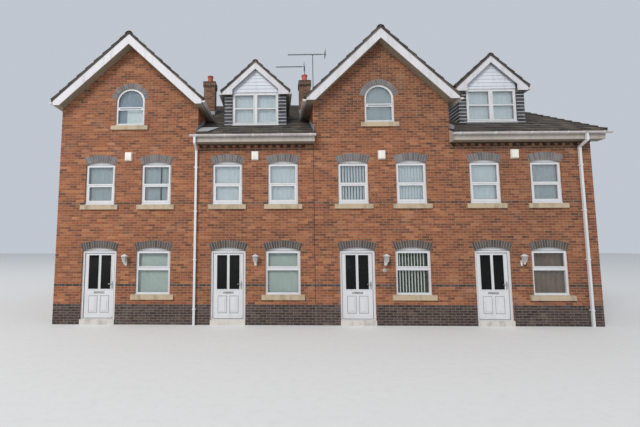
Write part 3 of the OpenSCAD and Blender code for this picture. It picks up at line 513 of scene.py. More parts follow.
def scattered(number: np.ndarray, offset: float) -> np.ndarray:
    """Scatters the faces' numbers over 0 to 1, the same way in each run."""
    value = np.sin(number + offset) * 43758.5453
    return value - np.floor(value)


def mark(piece: Piece, name: str, values: np.ndarray) -> None:
    """Gives each face a named value that the finish reads."""
    attribute = piece.data.attributes.new(name, "FLOAT", "FACE")
    attribute.data.foreach_set("value", values.astype(np.float32))


# Finishes


def screen(red: int, green: int, blue: int) -> Colour:
    """Turns a colour as it shows on a screen, from 0 to 255, into the linear one that shaders use."""
    parts = [c / 255 for c in (red, green, blue)]
    return tuple(c / 12.92 if c <= 0.04045 else ((c + 0.055) / 1.055) ** 2.4 for c in parts) + (1.0,)


class Shader:
    """A material's nodes, wired one at a time."""

    def __init__(self, name: str) -> None:
        """Starts a material.

        Args:
            name: Its name.
        """
        self.material = bpy.data.materials.new(name)
        self.material.use_nodes = True
        self.tree = self.material.node_tree
        self.surface = self.tree.nodes["Principled BSDF"]
        self.source = self.tree.nodes.new("ShaderNodeTexCoord")
        self.place = self.source.outputs["Object"]

    def feed(self, socket: Socket, value: object) -> None:
        """Links or sets an input.

        Args:
            socket: The input.
            value: Another node's output, or a plain value.
        """
        if isinstance(value, Socket):
            self.tree.links.new(value, socket)
        else:
            socket.default_value = value

    def node(self, kind: str, inputs: dict, output: int | str = 0, **settings: object) -> Socket:
        """Adds a node.

        Args:
            kind: The node's type, without its prefix.
            inputs: What goes into its inputs, by name or number.
            output: The output that is wanted.
            **settings: Its other settings.

        Returns:
            The wanted output.
        """
        node = self.tree.nodes.new("ShaderNode" + kind)
        for key, value in settings.items():
            setattr(node, key, value)
        for key, value in inputs.items():
            self.feed(node.inputs[key], value)
        return node.outputs[output]

    def noise(self, scale: float, detail: float, stretch: Point = (1, 1, 1)) -> Socket:
        """Adds a noise pattern fixed to the piece: its fineness, its layers and its stretch."""
        where = self.node("VectorMath", {0: self.place, 1: stretch}, operation="MULTIPLY")
        return self.node("TexNoise", {"Vector": where, "Scale": scale, "Detail": detail})

    def cells(self, size: Point) -> Socket:
        """Adds a random value for each box of a grid.

        Args:
            size: The size of a box.

        Returns:
            The value.
        """
        where = self.node("VectorMath", {0: self.place, 1: size}, operation="DIVIDE")
        box = self.node("VectorMath", {0: where}, operation="FLOOR")
        return self.node("TexWhiteNoise", {"Vector": box}, "Value", noise_dimensions="3D")

    def attribute(self, name: str) -> Socket:
        """Reads a value that the mesh carries."""
        return self.node("Attribute", {}, "Fac", attribute_name=name)

    def ramp(self, value: Socket, stops: Stops) -> Socket:
        """Turns a value into a colour.

        Args:
            value: The value, from 0 to 1.
            stops: Places and their colours.

        Returns:
            The colour.
        """
        node = self.tree.nodes.new("ShaderNodeValToRGB")
        while len(node.color_ramp.elements) < len(stops):
            node.color_ramp.elements.new(1.0)
        for element, (place, colour) in zip(node.color_ramp.elements, stops):
            element.position = place
            element.color = colour
        self.feed(node.inputs[0], value)
        return node.outputs[0]

    def fade(self, value: Socket, low: float, high: float, start: float = 0.0, end: float = 1.0) -> Socket:
        """Maps the span of values from low to high on to start to end, and holds it beyond them."""
        return self.node("MapRange", {"Value": value, "From Min": low, "From Max": high, "To Min": start,
                                      "To Max": end})

    def patches(self, scale: float, detail: float, low: float, high: float, start: float = 0.0,
                end: float = 1.0) -> Socket:
        """Adds a noise pattern, faded from start to end where its strength goes from low to high."""
        return self.fade(self.noise(scale, detail), low, high, start, end)

    def mix(self, amount: object, first: object, second: object, blend: str = "MIX") -> Socket:
        """Mixes two colours, by the share of the second."""
        return self.node("Mix", {0: amount, 6: first, 7: second}, 2, data_type="RGBA", blend_type=blend)

    def shaded(self, colour: Socket, strength: Socket) -> Socket:
        """Makes a colour lighter or darker by a factor."""
        factor = self.node("CombineColor", {0: strength, 1: strength, 2: strength})
        return self.mix(1.0, colour, factor, "MULTIPLY")

    def sums(self, operation: str, first: object, second: object = 0.0) -> Socket:
        """Does one sum on values, such as ADD."""
        return self.node("Math", {0: first, 1: second}, operation=operation)

    def times(self, first: object, second: object) -> Socket:
        """Multiplies two values."""
        return self.sums("MULTIPLY", first, second)

    def course(self, gauge: float, axis: str = "Z") -> Socket:
        """Gives the place within a course, from 0 at its start to 1 at its end."""
        return self.sums("FRACT", self.sums("DIVIDE", self.axis(axis), gauge))

    def axis(self, name: str) -> Socket:
        """Reads one coordinate: X, Y or Z."""
        return self.node("SeparateXYZ", {0: self.place}, name)

    def finish(self, colour: Socket, roughness: object, height: Socket, relief: float,
               metallic: float = 0.0) -> Material:
        """Wires the surface.

        Args:
            colour: Its colour.
            roughness: Its roughness.
            height: A pattern that stands out from it.
            relief: How far that pattern stands out.
            metallic: 1 for bare metal.

        Returns:
            The material.
        """
        self.feed(self.surface.inputs["Base Color"], colour)
        self.feed(self.surface.inputs["Roughness"], roughness)
        self.surface.inputs["Metallic"].default_value = metallic
        bump = self.node("Bump", {"Height": height, "Distance": relief, "Strength": 1.0}, "Normal")
        self.feed(self.surface.inputs["Normal"], bump)
        return self.material


@dataclass(frozen=True)
class Masonry:
    """Fired brick in mixed tones, with flecks and weather stains, darker towards the top and high up over the
    right half of the row.

    Attributes:
        name: The finish's name.
        tones: The colours of single bricks, with their places from 0 to 1.
        laid: Whether the mesh carries each brick's tone, or a grid gives it.
    """

    name: str
    tones: Stops
    laid: bool = True

    def make(self) -> Material:
        """Makes the material.

        Returns:
            The material.
        """
        shader = Shader(self.name)
        tone = shader.attribute("tone") if self.laid else shader.cells((BRICK / 2, 0.3, COURSE))
        colour = shader.ramp(tone, self.tones)
        across, up = shader.axis("X"), shader.axis("Z")
        if self.laid:
            bold = shader.sums("MAXIMUM", shader.fade(up, 2.5, 3.3, 1.0, 0.6), shader.fade(up, 6.0, 7.0))
            blue = shader.ramp(tone, BLUE_TONES)
            colour = shader.mix(shader.times(shader.attribute("blue"), bold), colour, blue)
        tint = shader.ramp(shader.fade(across, -ROW / 2, ROW / 2), HOUSE_TINTS)
        colour = shader.mix(1.0, colour, tint, "MULTIPLY")
        flecks = shader.times(shader.patches(38, 3, 0.54, 0.66), 0.5)
        colour = shader.mix(flecks, colour, screen(84, 54, 42))
        sand = shader.fade(shader.noise(52, 3, (1.0, 1.0, 1.3)), 0.58, 0.70)
        colour = shader.mix(shader.times(sand, 0.5), colour, screen(190, 144, 108))
        # Darker towards the top of the walls.
        darker_with_height = shader.fade(up, 5.2, 8.2, 1.0, 0.84)
        weather = shader.times(shader.patches(1.1, 6, 0.25, 0.75, 0.84, 1.12), darker_with_height)
        # Darker, by up to 0.15, high up over the right half of the row.
        darkening = shader.times(shader.fade(up, 5.0, 6.4, 0.0, 0.15), shader.fade(across, -1.0, 0.5))
        colour = shader.shaded(colour, shader.times(weather, shader.sums("SUBTRACT", 1.0, darkening)))
        colour = shader.mix(shader.patches(2.3, 6, 0.60, 0.80, 0.0, 0.22), colour, screen(176, 158, 142))
        rough = shader.patches(30, 3, 0.3, 0.7, 0.78, 0.95)
        return shader.finish(colour, rough, shader.noise(120, 4), 0.0035)


@dataclass(frozen=True)
class Mortar:
    """Sand and lime mortar; in the reveals of openings it shows the ends of the courses.

    Attributes:
        name: The finish's name.
        colour: The mortar's colour.
        reveals: Whether faces that look along the row show courses of brick.
    """

    name: str
    colour: Colour
    reveals: bool = False

    def make(self) -> Material:
        """Makes the material.

        Returns:
            The material.
        """
        shader = Shader(self.name)
        grain = shader.noise(45, 4)
        dark = tuple(c * 0.7 for c in self.colour[:3]) + (1.0,)
        colour = shader.mix(shader.fade(grain, 0.3, 0.7), self.colour, dark)
        darkening = shader.times(shader.sums("LESS_THAN", shader.axis("Z"), PLINTH_TOP), 0.7)
        colour = shader.mix(darkening, colour, screen(126, 116, 110))
        if self.reveals:
            bed = shader.sums("LESS_THAN", shader.course(COURSE), 0.86)
            turned = shader.node("SeparateXYZ", {0: shader.source.outputs["Normal"]}, "X")
            side = shader.sums("GREATER_THAN", shader.sums("ABSOLUTE", turned), 0.7)
            brick = shader.ramp(shader.cells((0.5, 0.5, COURSE)), RED_TONES)
            colour = shader.mix(shader.times(bed, side), colour, brick)
        return shader.finish(colour, 0.95, grain, 0.003)


@dataclass(frozen=True)
class Clay:
    """Tiles with a tone each, lichen and dark weathering, and optionally a pale painted highlight along the
    lower edge of each course.

    Attributes:
        name: The finish's name.
        tones: The tiles' colours, with their places from 0 to 1.
        growth: The share that lichen covers.
        laid: Whether the mesh carries each tile's tone.
        roughness: Roughness of the surface.
        course: Height of courses whose lower edges get a pale painted highlight, or 0 for none.
    """

    name: str
    tones: Stops
    growth: float = 0.25
    laid: bool = True
    roughness: float = 0.85
    course: float = 0.0

    def make(self) -> Material:
        """Makes the material.

        Returns:
            The material.
        """
        shader = Shader(self.name)
        tone = shader.attribute("tone") if self.laid else shader.cells((0.45, 0.45, 3.0))
        weather = shader.patches(1.7, 6, 0.3, 0.7, 0.72, 1.2)
        colour = shader.shaded(shader.ramp(tone, self.tones), weather)
        lichen = shader.patches(26, 5, 0.60, 0.68, 0.0, self.growth)
        colour = shader.mix(lichen, colour, screen(128, 126, 104))
        if self.course:
            # Painted highlight: a pale band along the lower edge of each course.
            lower = shader.sums("LESS_THAN", shader.course(self.course), 0.24)
            edge = shader.times(lower, shader.fade(weather, 0.72, 1.2, 0.6, 1.0))
            colour = shader.mix(edge, colour, screen(176, 180, 186))
        return shader.finish(colour, self.roughness, shader.noise(90, 4), 0.003)


@dataclass(frozen=True)
class Plastic:
    """Moulded or painted board with faint dirt in streaks.

    Attributes:
        name: The finish's name.
        colour: The clean colour.
        dirt: The colour of the dirt.
        soiled: How strong the dirt is.
        roughness: Roughness of the surface.
    """

    name: str
    colour: Colour
    dirt: Colour
    soiled: float = 0.25
    roughness: float = 0.35

    def make(self) -> Material:
        """Makes the material.

        Returns:
            The material.
        """
        shader = Shader(self.name)
        streaks = shader.fade(shader.noise(5, 6, (2.0, 2.0, 0.35)), 0.5, 0.85, 0.0, self.soiled)
        cloud = shader.patches(1.3, 4, 0.35, 0.8, 0.0, self.soiled * 0.6)
        colour = shader.mix(cloud, shader.mix(streaks, self.colour, self.dirt), self.dirt)
        rough = shader.patches(14, 3, 0.3, 0.7, self.roughness, self.roughness + 0.18)
        return shader.finish(colour, rough, shader.noise(60, 2), 0.0004)


@dataclass(frozen=True)
class Stone:
    """Cast stone or concrete, speckled and stained.

    Attributes:
        name: The finish's name.
        colour: The main colour.
        speck: The colour of the specks.
        stain: The colour of the stains.
    """

    name: str
    colour: Colour
    speck: Colour
    stain: Colour

    def make(self) -> Material:
        """Makes the material.

        Returns:
            The material.
        """
        shader = Shader(self.name)
        colour = shader.mix(shader.patches(160, 2, 0.55, 0.7, 0.0, 0.5), self.colour, self.speck)
        stains = shader.fade(shader.noise(4, 6, (1.5, 1.5, 0.6)), 0.48, 0.78, 0.0, 0.65)
        colour = shader.mix(stains, colour, self.stain)
        return shader.finish(colour, 0.88, shader.noise(110, 5), 0.002)


@dataclass(frozen=True)
class Glass:
    """Clear or tinted panes that let most light through and mirror at a slant.

    Attributes:
        name: The finish's name.
        tint: What the glass does to the light that goes through.
        gloss: The share of light that it mirrors even when seen squarely, which is less on the ground floor.
    """

    name: str
    tint: Colour
    gloss: float

    def make(self) -> Material:
        """Makes the material.

        Returns:
            The material.
        """
        shader = Shader(self.name)
        shader.surface.inputs["Base Color"].default_value = self.tint
        waves = shader.node("Bump", {"Height": shader.noise(3, 2), "Distance": 0.002, "Strength": 0.6},
                            "Normal")
        shader.surface.inputs["Roughness"].default_value = 0.02
        shader.feed(shader.surface.inputs["Normal"], waves)
        shader.surface.inputs["Specular IOR Level"].default_value = 0.9
        clear = shader.node("BsdfTransparent", {0: self.tint})
        facing = shader.node("LayerWeight", {"Blend": 0.35}, "Fresnel")
        # Weaker reflection on the ground floor: painted shade in the reflection, for the darker street that
        # those panes face.
        storey = shader.fade(shader.axis("Z"), 2.3, 3.4, 0.3, 1.0)
        share = shader.times(shader.fade(facing, 0.0, 1.0, self.gloss, 0.9), storey)
        gloss = shader.node("BsdfGlossy", {"Color": (1, 1, 1, 1), "Roughness": 0.02, "Normal": waves})
        mixed = shader.node("MixShader", {0: share, 1: clear, 2: gloss})
        output = shader.tree.nodes["Material Output"]
        shader.tree.links.new(mixed, output.inputs["Surface"])
        return shader.material


@dataclass(frozen=True)
class Metal:
    """Metal with a brushed or weathered surface.

    Attributes:
        name: The finish's name.
        colour: The clean colour.
        worn: The colour where it has weathered.
        bare: 1 for bare metal and 0 for a dull or painted one.
        roughness: Roughness of the surface.
        relief: How far its dents stand out.
    """

    name: str
    colour: Colour
    worn: Colour
    bare: float = 1.0
    roughness: float = 0.35
    relief: float = 0.0005

    def make(self) -> Material:
        """Makes the material.

        Returns:
            The material.
        """
        shader = Shader(self.name)
        wear = shader.patches(9, 6, 0.42, 0.7)
        colour = shader.mix(wear, self.colour, self.worn)
        rough = shader.fade(wear, 0.0, 1.0, self.roughness, self.roughness + 0.25)
        return shader.finish(colour, rough, shader.noise(24, 4), self.relief, self.bare)


@dataclass(frozen=True)
class Cloth:
    """Woven blind or curtain cloth.

    Attributes:
        name: The finish's name.
        colour: The main colour.
        shade: The colour in the folds.
    """

    name: str
    colour: Colour
    shade: Colour

    def make(self) -> Material:
        """Makes the material.

        Returns:
            The material.
        """
        shader = Shader(self.name)
        weave = shader.noise(220, 2, (1.0, 1.0, 0.35))
        drift = shader.times(shader.patches(2.2, 3, 0.3, 0.75), 0.5)
        colour = shader.mix(shader.fade(weave, 0.3, 0.7, 0.0, 0.25), self.colour, self.shade)
        colour = shader.mix(drift, colour, self.shade)
        return shader.finish(colour, 0.95, weave, 0.0012)


@dataclass(frozen=True)
class Boarding:
    """Sawn boards.

    Attributes:
        name: The finish's name.
        light: The pale grain.
        dark: The dark grain.
    """

    name: str
    light: Colour
    dark: Colour

    def make(self) -> Material:
        """Makes the material.

        Returns:
            The material.
        """
        shader = Shader(self.name)
        grain = shader.noise(14, 6, (0.12, 1.0, 1.0))
        colour = shader.mix(shader.fade(grain, 0.3, 0.7), self.light, self.dark)
        gap = shader.sums("LESS_THAN", shader.course(0.12, "Y"), 0.03)
        colour = shader.mix(gap, colour, screen(40, 30, 22))
        return shader.finish(colour, 0.7, grain, 0.002)


RED_TONES = (
    (0.00, screen(96, 58, 44)), (0.07, screen(116, 68, 48)), (0.30, screen(134, 78, 52)),
    (0.55, screen(146, 86, 56)), (0.78, screen(158, 98, 65)), (0.92, screen(176, 118, 80)),
    (1.00, screen(140, 72, 46)),
)
STACK_TONES = (
    (0.0, screen(100, 66, 54)), (0.4, screen(134, 94, 76)), (0.8, screen(154, 118, 98)),
    (1.0, screen(122, 104, 96)),
)
BLUE_TONES = (
    (0.0, screen(40, 38, 43)), (0.4, screen(52, 47, 50)), (0.8, screen(66, 60, 62)),
    (1.0, screen(84, 76, 76)),
)
# Painted shade: the dentils' tones are far darker than the wall's brick, standing in for the shade under the
# eaves.
SHADED_DENTIL_TONES = (
    (0.0, screen(34, 23, 20)), (0.5, screen(44, 31, 26)), (1.0, screen(58, 42, 34)),
)
SOLDIER_TONES = (
    (0.0, screen(66, 60, 60)), (0.5, screen(80, 73, 71)), (1.0, screen(92, 84, 81)),
)
PALE_SOLDIER_TONES = (
    (0.0, screen(96, 92, 94)), (0.5, screen(110, 106, 108)), (1.0, screen(122, 118, 119)),
)
HOUSE_TINTS = (
    (0.0, (1.01, 0.93, 0.87, 1)), (0.26, (0.97, 0.90, 0.84, 1)), (0.30, (0.87, 0.82, 0.79, 1)),
    (0.50, (0.93, 0.87, 0.84, 1)), (0.72, (0.93, 0.87, 0.84, 1)), (0.78, (0.82, 0.78, 0.80, 1)),
)
TILE_TONES = (
    (0.0, screen(56, 50, 48)), (0.35, screen(70, 63, 58)), (0.7, screen(82, 74, 67)),
    (1.0, screen(98, 88, 78)),
)
HUNG_TONES = (
    (0.0, screen(44, 44, 50)), (0.5, screen(60, 60, 66)), (1.0, screen(84, 84, 88)),
)
RIDGE_TONES = (
    (0.0, screen(84, 76, 74)), (0.5, screen(102, 94, 90)), (1.0, screen(122, 112, 106)),
)


class Finish(Enum):
    """The finishes of the row."""

    BRICK = Masonry("red_brick", RED_TONES)
    # Dentil brick in painted shade.
    DENTIL = Masonry("dentil_brick_painted_shade", SHADED_DENTIL_TONES, laid=False)
    STACK = Masonry("stack_brick", STACK_TONES)
    SOLDIER = Clay("soldier_brick", SOLDIER_TONES, growth=0.08)
    PALE_SOLDIER = Clay("pale_soldier_brick", PALE_SOLDIER_TONES, growth=0.08)
    POINTING = Mortar("pointing", screen(168, 148, 122), reveals=True)
    BED = Mortar("bed_mortar", screen(168, 148, 122))
    ARCH_BED = Mortar("arch_mortar", screen(158, 148, 138))
    SEALANT = Mortar("joint_sealant", screen(46, 38, 34))
    TILE = Clay("roof_tile", TILE_TONES)
    SARKING = Clay("tile_underside", TILE_TONES, laid=False)
    HUNG = Clay("hung_tile", HUNG_TONES, growth=0.1, course=HUNG_COURSE)
    HUNG_BACK = Clay("hung_tile_back", HUNG_TONES, laid=False)
    RIDGE = Clay("ridge_tile", RIDGE_TONES, growth=0.35)
    UPVC = Plastic("white_upvc", screen(212, 213, 215), screen(150, 146, 140))
    # Dark grey for strips that paint shadow lines in grooves and gaps.
    GROOVE = Plastic("painted_shadow_line", screen(120, 121, 126), screen(90, 90, 92))
    BOARD = Plastic("white_board", screen(208, 207, 211), screen(150, 144, 140), 0.5, 0.45)
    CREAM = Plastic("cream_board", screen(174, 166, 158), screen(120, 112, 102), 0.5, 0.45)
    GUTTER = Plastic("gutter_upvc", screen(206, 198, 197), screen(128, 120, 114), 0.5, 0.4)
    # Soffit colour: partly the boards' own colour and partly painted shade under the eaves.
    SOFFIT = Plastic("soffit_board", screen(144, 134, 114), screen(94, 86, 72), 0.4, 0.6)
    SHIPLAP = Plastic("shiplap_board", screen(208, 212, 220), screen(150, 152, 154), 0.3, 0.4)
    ALARM = Plastic("alarm_box", screen(232, 230, 222), screen(170, 164, 146), 0.35, 0.4)
    LAMP = Plastic("lantern_paint", screen(222, 222, 220), screen(140, 134, 122), 0.45, 0.3)
    LAMP_GLASS = Plastic("lantern_glass", screen(168, 168, 168), screen(104, 102, 100), 0.5, 0.15)
    SILL = Stone("buff_sill", screen(186, 168, 142), screen(136, 120, 98), screen(110, 100, 86))
    STEP = Stone("door_step", screen(206, 201, 194), screen(160, 154, 146), screen(124, 120, 112))
    SLAB = Stone("floor_slab", screen(150, 148, 142), screen(112, 110, 106), screen(120, 118, 112))
    FLAUNCH = Stone("flaunching", screen(150, 140, 126), screen(104, 98, 90), screen(80, 76, 70))
    # Floor boards: partly their own wood colour and partly painted shade in the rooms behind the windows.
    FLOOR = Boarding("floor_boards", screen(132, 106, 76), screen(94, 70, 46))
    CHEEK = Boarding("cheek_boards", screen(120, 104, 82), screen(84, 70, 54))
    POT = Stone("terracotta", screen(188, 98, 80), screen(150, 78, 62), screen(104, 68, 60))
    PANE = Glass("window_glass", (0.95, 0.98, 0.985, 1), 0.055)
    # Door glass that lets little light through: painted shade for the dark interior behind the doors.
    DOOR_PANE = Glass("door_glass", (0.12, 0.125, 0.14, 1), 0.02)
    LEAD = Metal("lead_sheet", screen(136, 140, 148), screen(170, 172, 176), 0.15, 0.6, 0.004)
    PALE_LEAD = Metal("pale_lead_sheet", screen(172, 172, 174), screen(150, 150, 152), 0.1, 0.6, 0.004)
    HANDLE = Metal("handle_metal", screen(186, 186, 184), screen(140, 140, 138))
    AERIAL = Metal("aerial_metal", screen(92, 94, 106), screen(64, 64, 72), 0.3, 0.5)
    INSULATOR = Plastic("aerial_insulator", screen(34, 34, 46), screen(52, 52, 60), 0.2, 0.6)
    BLIND = Cloth("blind_cloth", screen(172, 179, 171), screen(146, 152, 145))
    NET = Cloth("net_cloth", screen(250, 252, 252), screen(230, 237, 240))
    DIM_NET = Cloth("dim_net_cloth", screen(200, 206, 206), screen(168, 176, 180))
    GREY_NET = Cloth("grey_net_cloth", screen(160, 172, 184), screen(138, 150, 164))
    SLATS = Cloth("slat_cloth", screen(216, 218, 206), screen(180, 182, 170))
    DRAPE = Cloth("drape_cloth", screen(116, 92, 76), screen(80, 66, 56))
    PALE = Stone("studio_floor", screen(226, 226, 224), screen(222, 222, 220), screen(218, 218, 216))

    @cache
    def material(self) -> Material:
        """The finish's material, which is made once."""
        return self.value.make()


def place(piece: Piece, name: str, finish: Finish, slot: str, body: str = "building",
          stands_for: Sequence[str] = ()) -> Piece:
    """Puts a finished piece on its body, in the row's frame.

    Args:
        piece: The piece, in street coordinates.
        name: Its name.
        finish: Its finish.
        slot: The record's material slot; not used.
        body: The body that it rides on.
        stands_for: The solid nodes that it replaces.

    Returns:
        The same piece.
    """
    piece.data.transform(STREET_TO_FRAME)
    piece.data.validate()
    piece.name = name
    piece.data.name = name
    piece.data.materials.clear()
    piece.data.materials.append(finish.material())
    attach(piece, body)
    if stands_for:
        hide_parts(*stands_for)
    faces = sum(len(polygon.vertices) - 2 for polygon in piece.data.polygons)
    log.info("%s rides on %s, %d triangles", name, body, faces)
    return piece


# Faces that things are laid on: u runs along x, v along z, and the outside looks along -y


def wall_face(turn: float, at: Point) -> Matrix:
    """Places the plane of a wall: turned so many degrees from the front, with its first corner at a point."""
    return Matrix.Translation(at) @ Matrix.Rotation(math.radians(turn), 4, "Z")


def slope_face(turn: float, at: Point, pitch: float) -> Matrix:
    """Places the plane of a roof slope: its eaves turned from the front, a point of them, its pitch."""
    return wall_face(turn, at) @ Matrix.Rotation(pitch - math.pi / 2, 4, "X")


FRONT = wall_face(0, (0, 0, 0))
REAR = wall_face(180, (ROW, DEPTH, 0))
MAIN_FRONT = slope_face(0, (0, -EAVES_OUT, EAVES_Z), MAIN_PITCH)
MAIN_REAR = REAR @ MAIN_FRONT


@dataclass(frozen=True)
class Cut:
    """A plane that trims what is laid.

    Attributes:
        at: A point of the plane.
        away: The direction of the side that goes.
    """

    at: Point
    away: Point


# Steps of the tones from unit to unit and from course to course

UNIT_STEP = 12.9898
COURSE_STEP = 78.233


@dataclass(frozen=True)
class Laid:
    """Units laid in courses, each course shifted from the last.

    Attributes:
        cover: Pitch of the units along a course.
        gauge: Height of a course.
        unit: Models the first unit from cover and gauge.
        bond: The shift of every other course, as a share of cover.
    """

    cover: float
    gauge: float
    unit: Callable[[float, float], Piece]
    bond: float = 0.5

    def lay(self, area: Area, face: Matrix, cuts: Sequence[Cut] = (), seed: float = 0.0,
            marked: Sequence[int] = ()) -> Piece:
        """Covers a rectangle of a face.

        Args:
            area: Its left, right, bottom and top in the face's plane.
            face: The face.
            cuts: Planes of the street that trim it.
            seed: Varies the tones.
            marked: Courses whose units are blue.

        Returns:
            The laid piece, in street coordinates.
        """
        left, right, bottom, top = area
        first = math.floor(left / self.cover) - 1
        row = 2 * math.floor(bottom / (2 * self.gauge) + 1e-6)
        piece = self.unit(self.cover, self.gauge)
        move(piece, (first * self.cover, 0, row * self.gauge))
        repeat(piece, math.ceil(right / self.cover) - first + 1, (self.cover, 0, 0))
        repeat(piece, 2, (self.cover * self.bond, 0, self.gauge))
        repeat(piece, math.ceil((top / self.gauge - row) / 2), (0, 0, 2 * self.gauge))
        cut(piece, (left, 0, 0), (-1, 0, 0))
        cut(piece, (right, 0, 0), (1, 0, 0))
        cut(piece, (0, 0, bottom), (0, 0, -1))
        cut(piece, (0, 0, top), (0, 0, 1))
        piece.data.transform(face)
        for plane in cuts:
            cut(piece, plane.at, plane.away)
        self.shade(piece, face, seed, marked)
        return piece

    def shade(self, piece: Piece, face: Matrix, seed: float, marked: Sequence[int]) -> None:
        """Gives each unit a tone of its own.

        Args:
            piece: The laid piece.
            face: The face that it is laid on.
            seed: Varies the tones.
            marked: Courses whose units are blue.
        """
        centres = face_centres(piece)
        flat = np.c_[centres, np.ones(len(centres))] @ np.array(face.inverted()).T
        row = np.floor(flat[:, 2] / self.gauge + 1e-3)
        column = np.floor(flat[:, 0] / self.cover - self.bond * (row % 2) + 1e-3)
        mark(piece, "tone", scattered(column * UNIT_STEP + row * COURSE_STEP, seed * 37.719))
        mark(piece, "blue", np.isin(row, marked) * 1.0)


def free_areas(area: Area, holes: Sequence[Area]) -> list[Area]:
    """Splits a rectangle with holes into plain rectangles.

    Args:
        area: Left, right, bottom and top of the whole.
        holes: Left, right, bottom and top of each hole.

    Returns:
        The plain rectangles.
    """
    left, right, bottom, top = area
    levels = sorted({bottom, top, *(z for hole in holes for z in hole[2:] if bottom < z < top)})
    areas = []
    for low, high in zip(levels, levels[1:]):
        blocked = sorted((h[0], h[1]) for h in holes if h[2] < high - 1e-6 and h[3] > low + 1e-6)
        start = left
        for hole_left, hole_right in blocked:
            if hole_left > start + 1e-6:
                areas.append((start, min(hole_left, right), low, high))
            start = max(start, hole_right)
        if start < right - 1e-6:
            areas.append((start, right, low, high))
    return areas


# Brickwork


def brick_unit(cover: float, gauge: float) -> Piece:
    """Models one brick with its arris and its joints.

    Args:
        cover: Pitch of the bricks along a course.
        gauge: Height of a course.

    Returns:
        The brick, at the first place.
    """
    joint = 0.010
    proud = 0.0045
    piece = block((joint / 2, -proud, joint / 2), (cover - joint / 2, 0.002, gauge - joint / 2))
    return taper(piece, (0, -1, 0), (0.986, 1, 0.955), (cover / 2, -proud, gauge / 2))


BRICKS = Laid(BRICK, COURSE, brick_unit)
PLINTH_COURSES = tuple(range(8)) + (15, 48)
BAND_COURSES = PLINTH_COURSES + (70,)
MOVEMENT_JOINT = 0.014


def ridge_cuts(roof: CrossRoof, drop: float) -> tuple[Cut, Cut]:
    """The two planes at a depth under a pair of slopes, which take what is above them."""
    at = (roof.centre, 0.0, roof.top - drop)
    return Cut(at, (roof.slope, 0, 1)), Cut(at, (-roof.slope, 0, 1))


def main_cuts(drop: float) -> tuple[Cut, Cut]:
    """The two planes at a depth under the main roof, which take what is above them."""
    return (Cut((0, -EAVES_OUT, EAVES_Z - drop), (0, -MAIN_SLOPE, 1)),
            Cut((0, DEPTH + EAVES_OUT, EAVES_Z - drop), (0, MAIN_SLOPE, 1)))


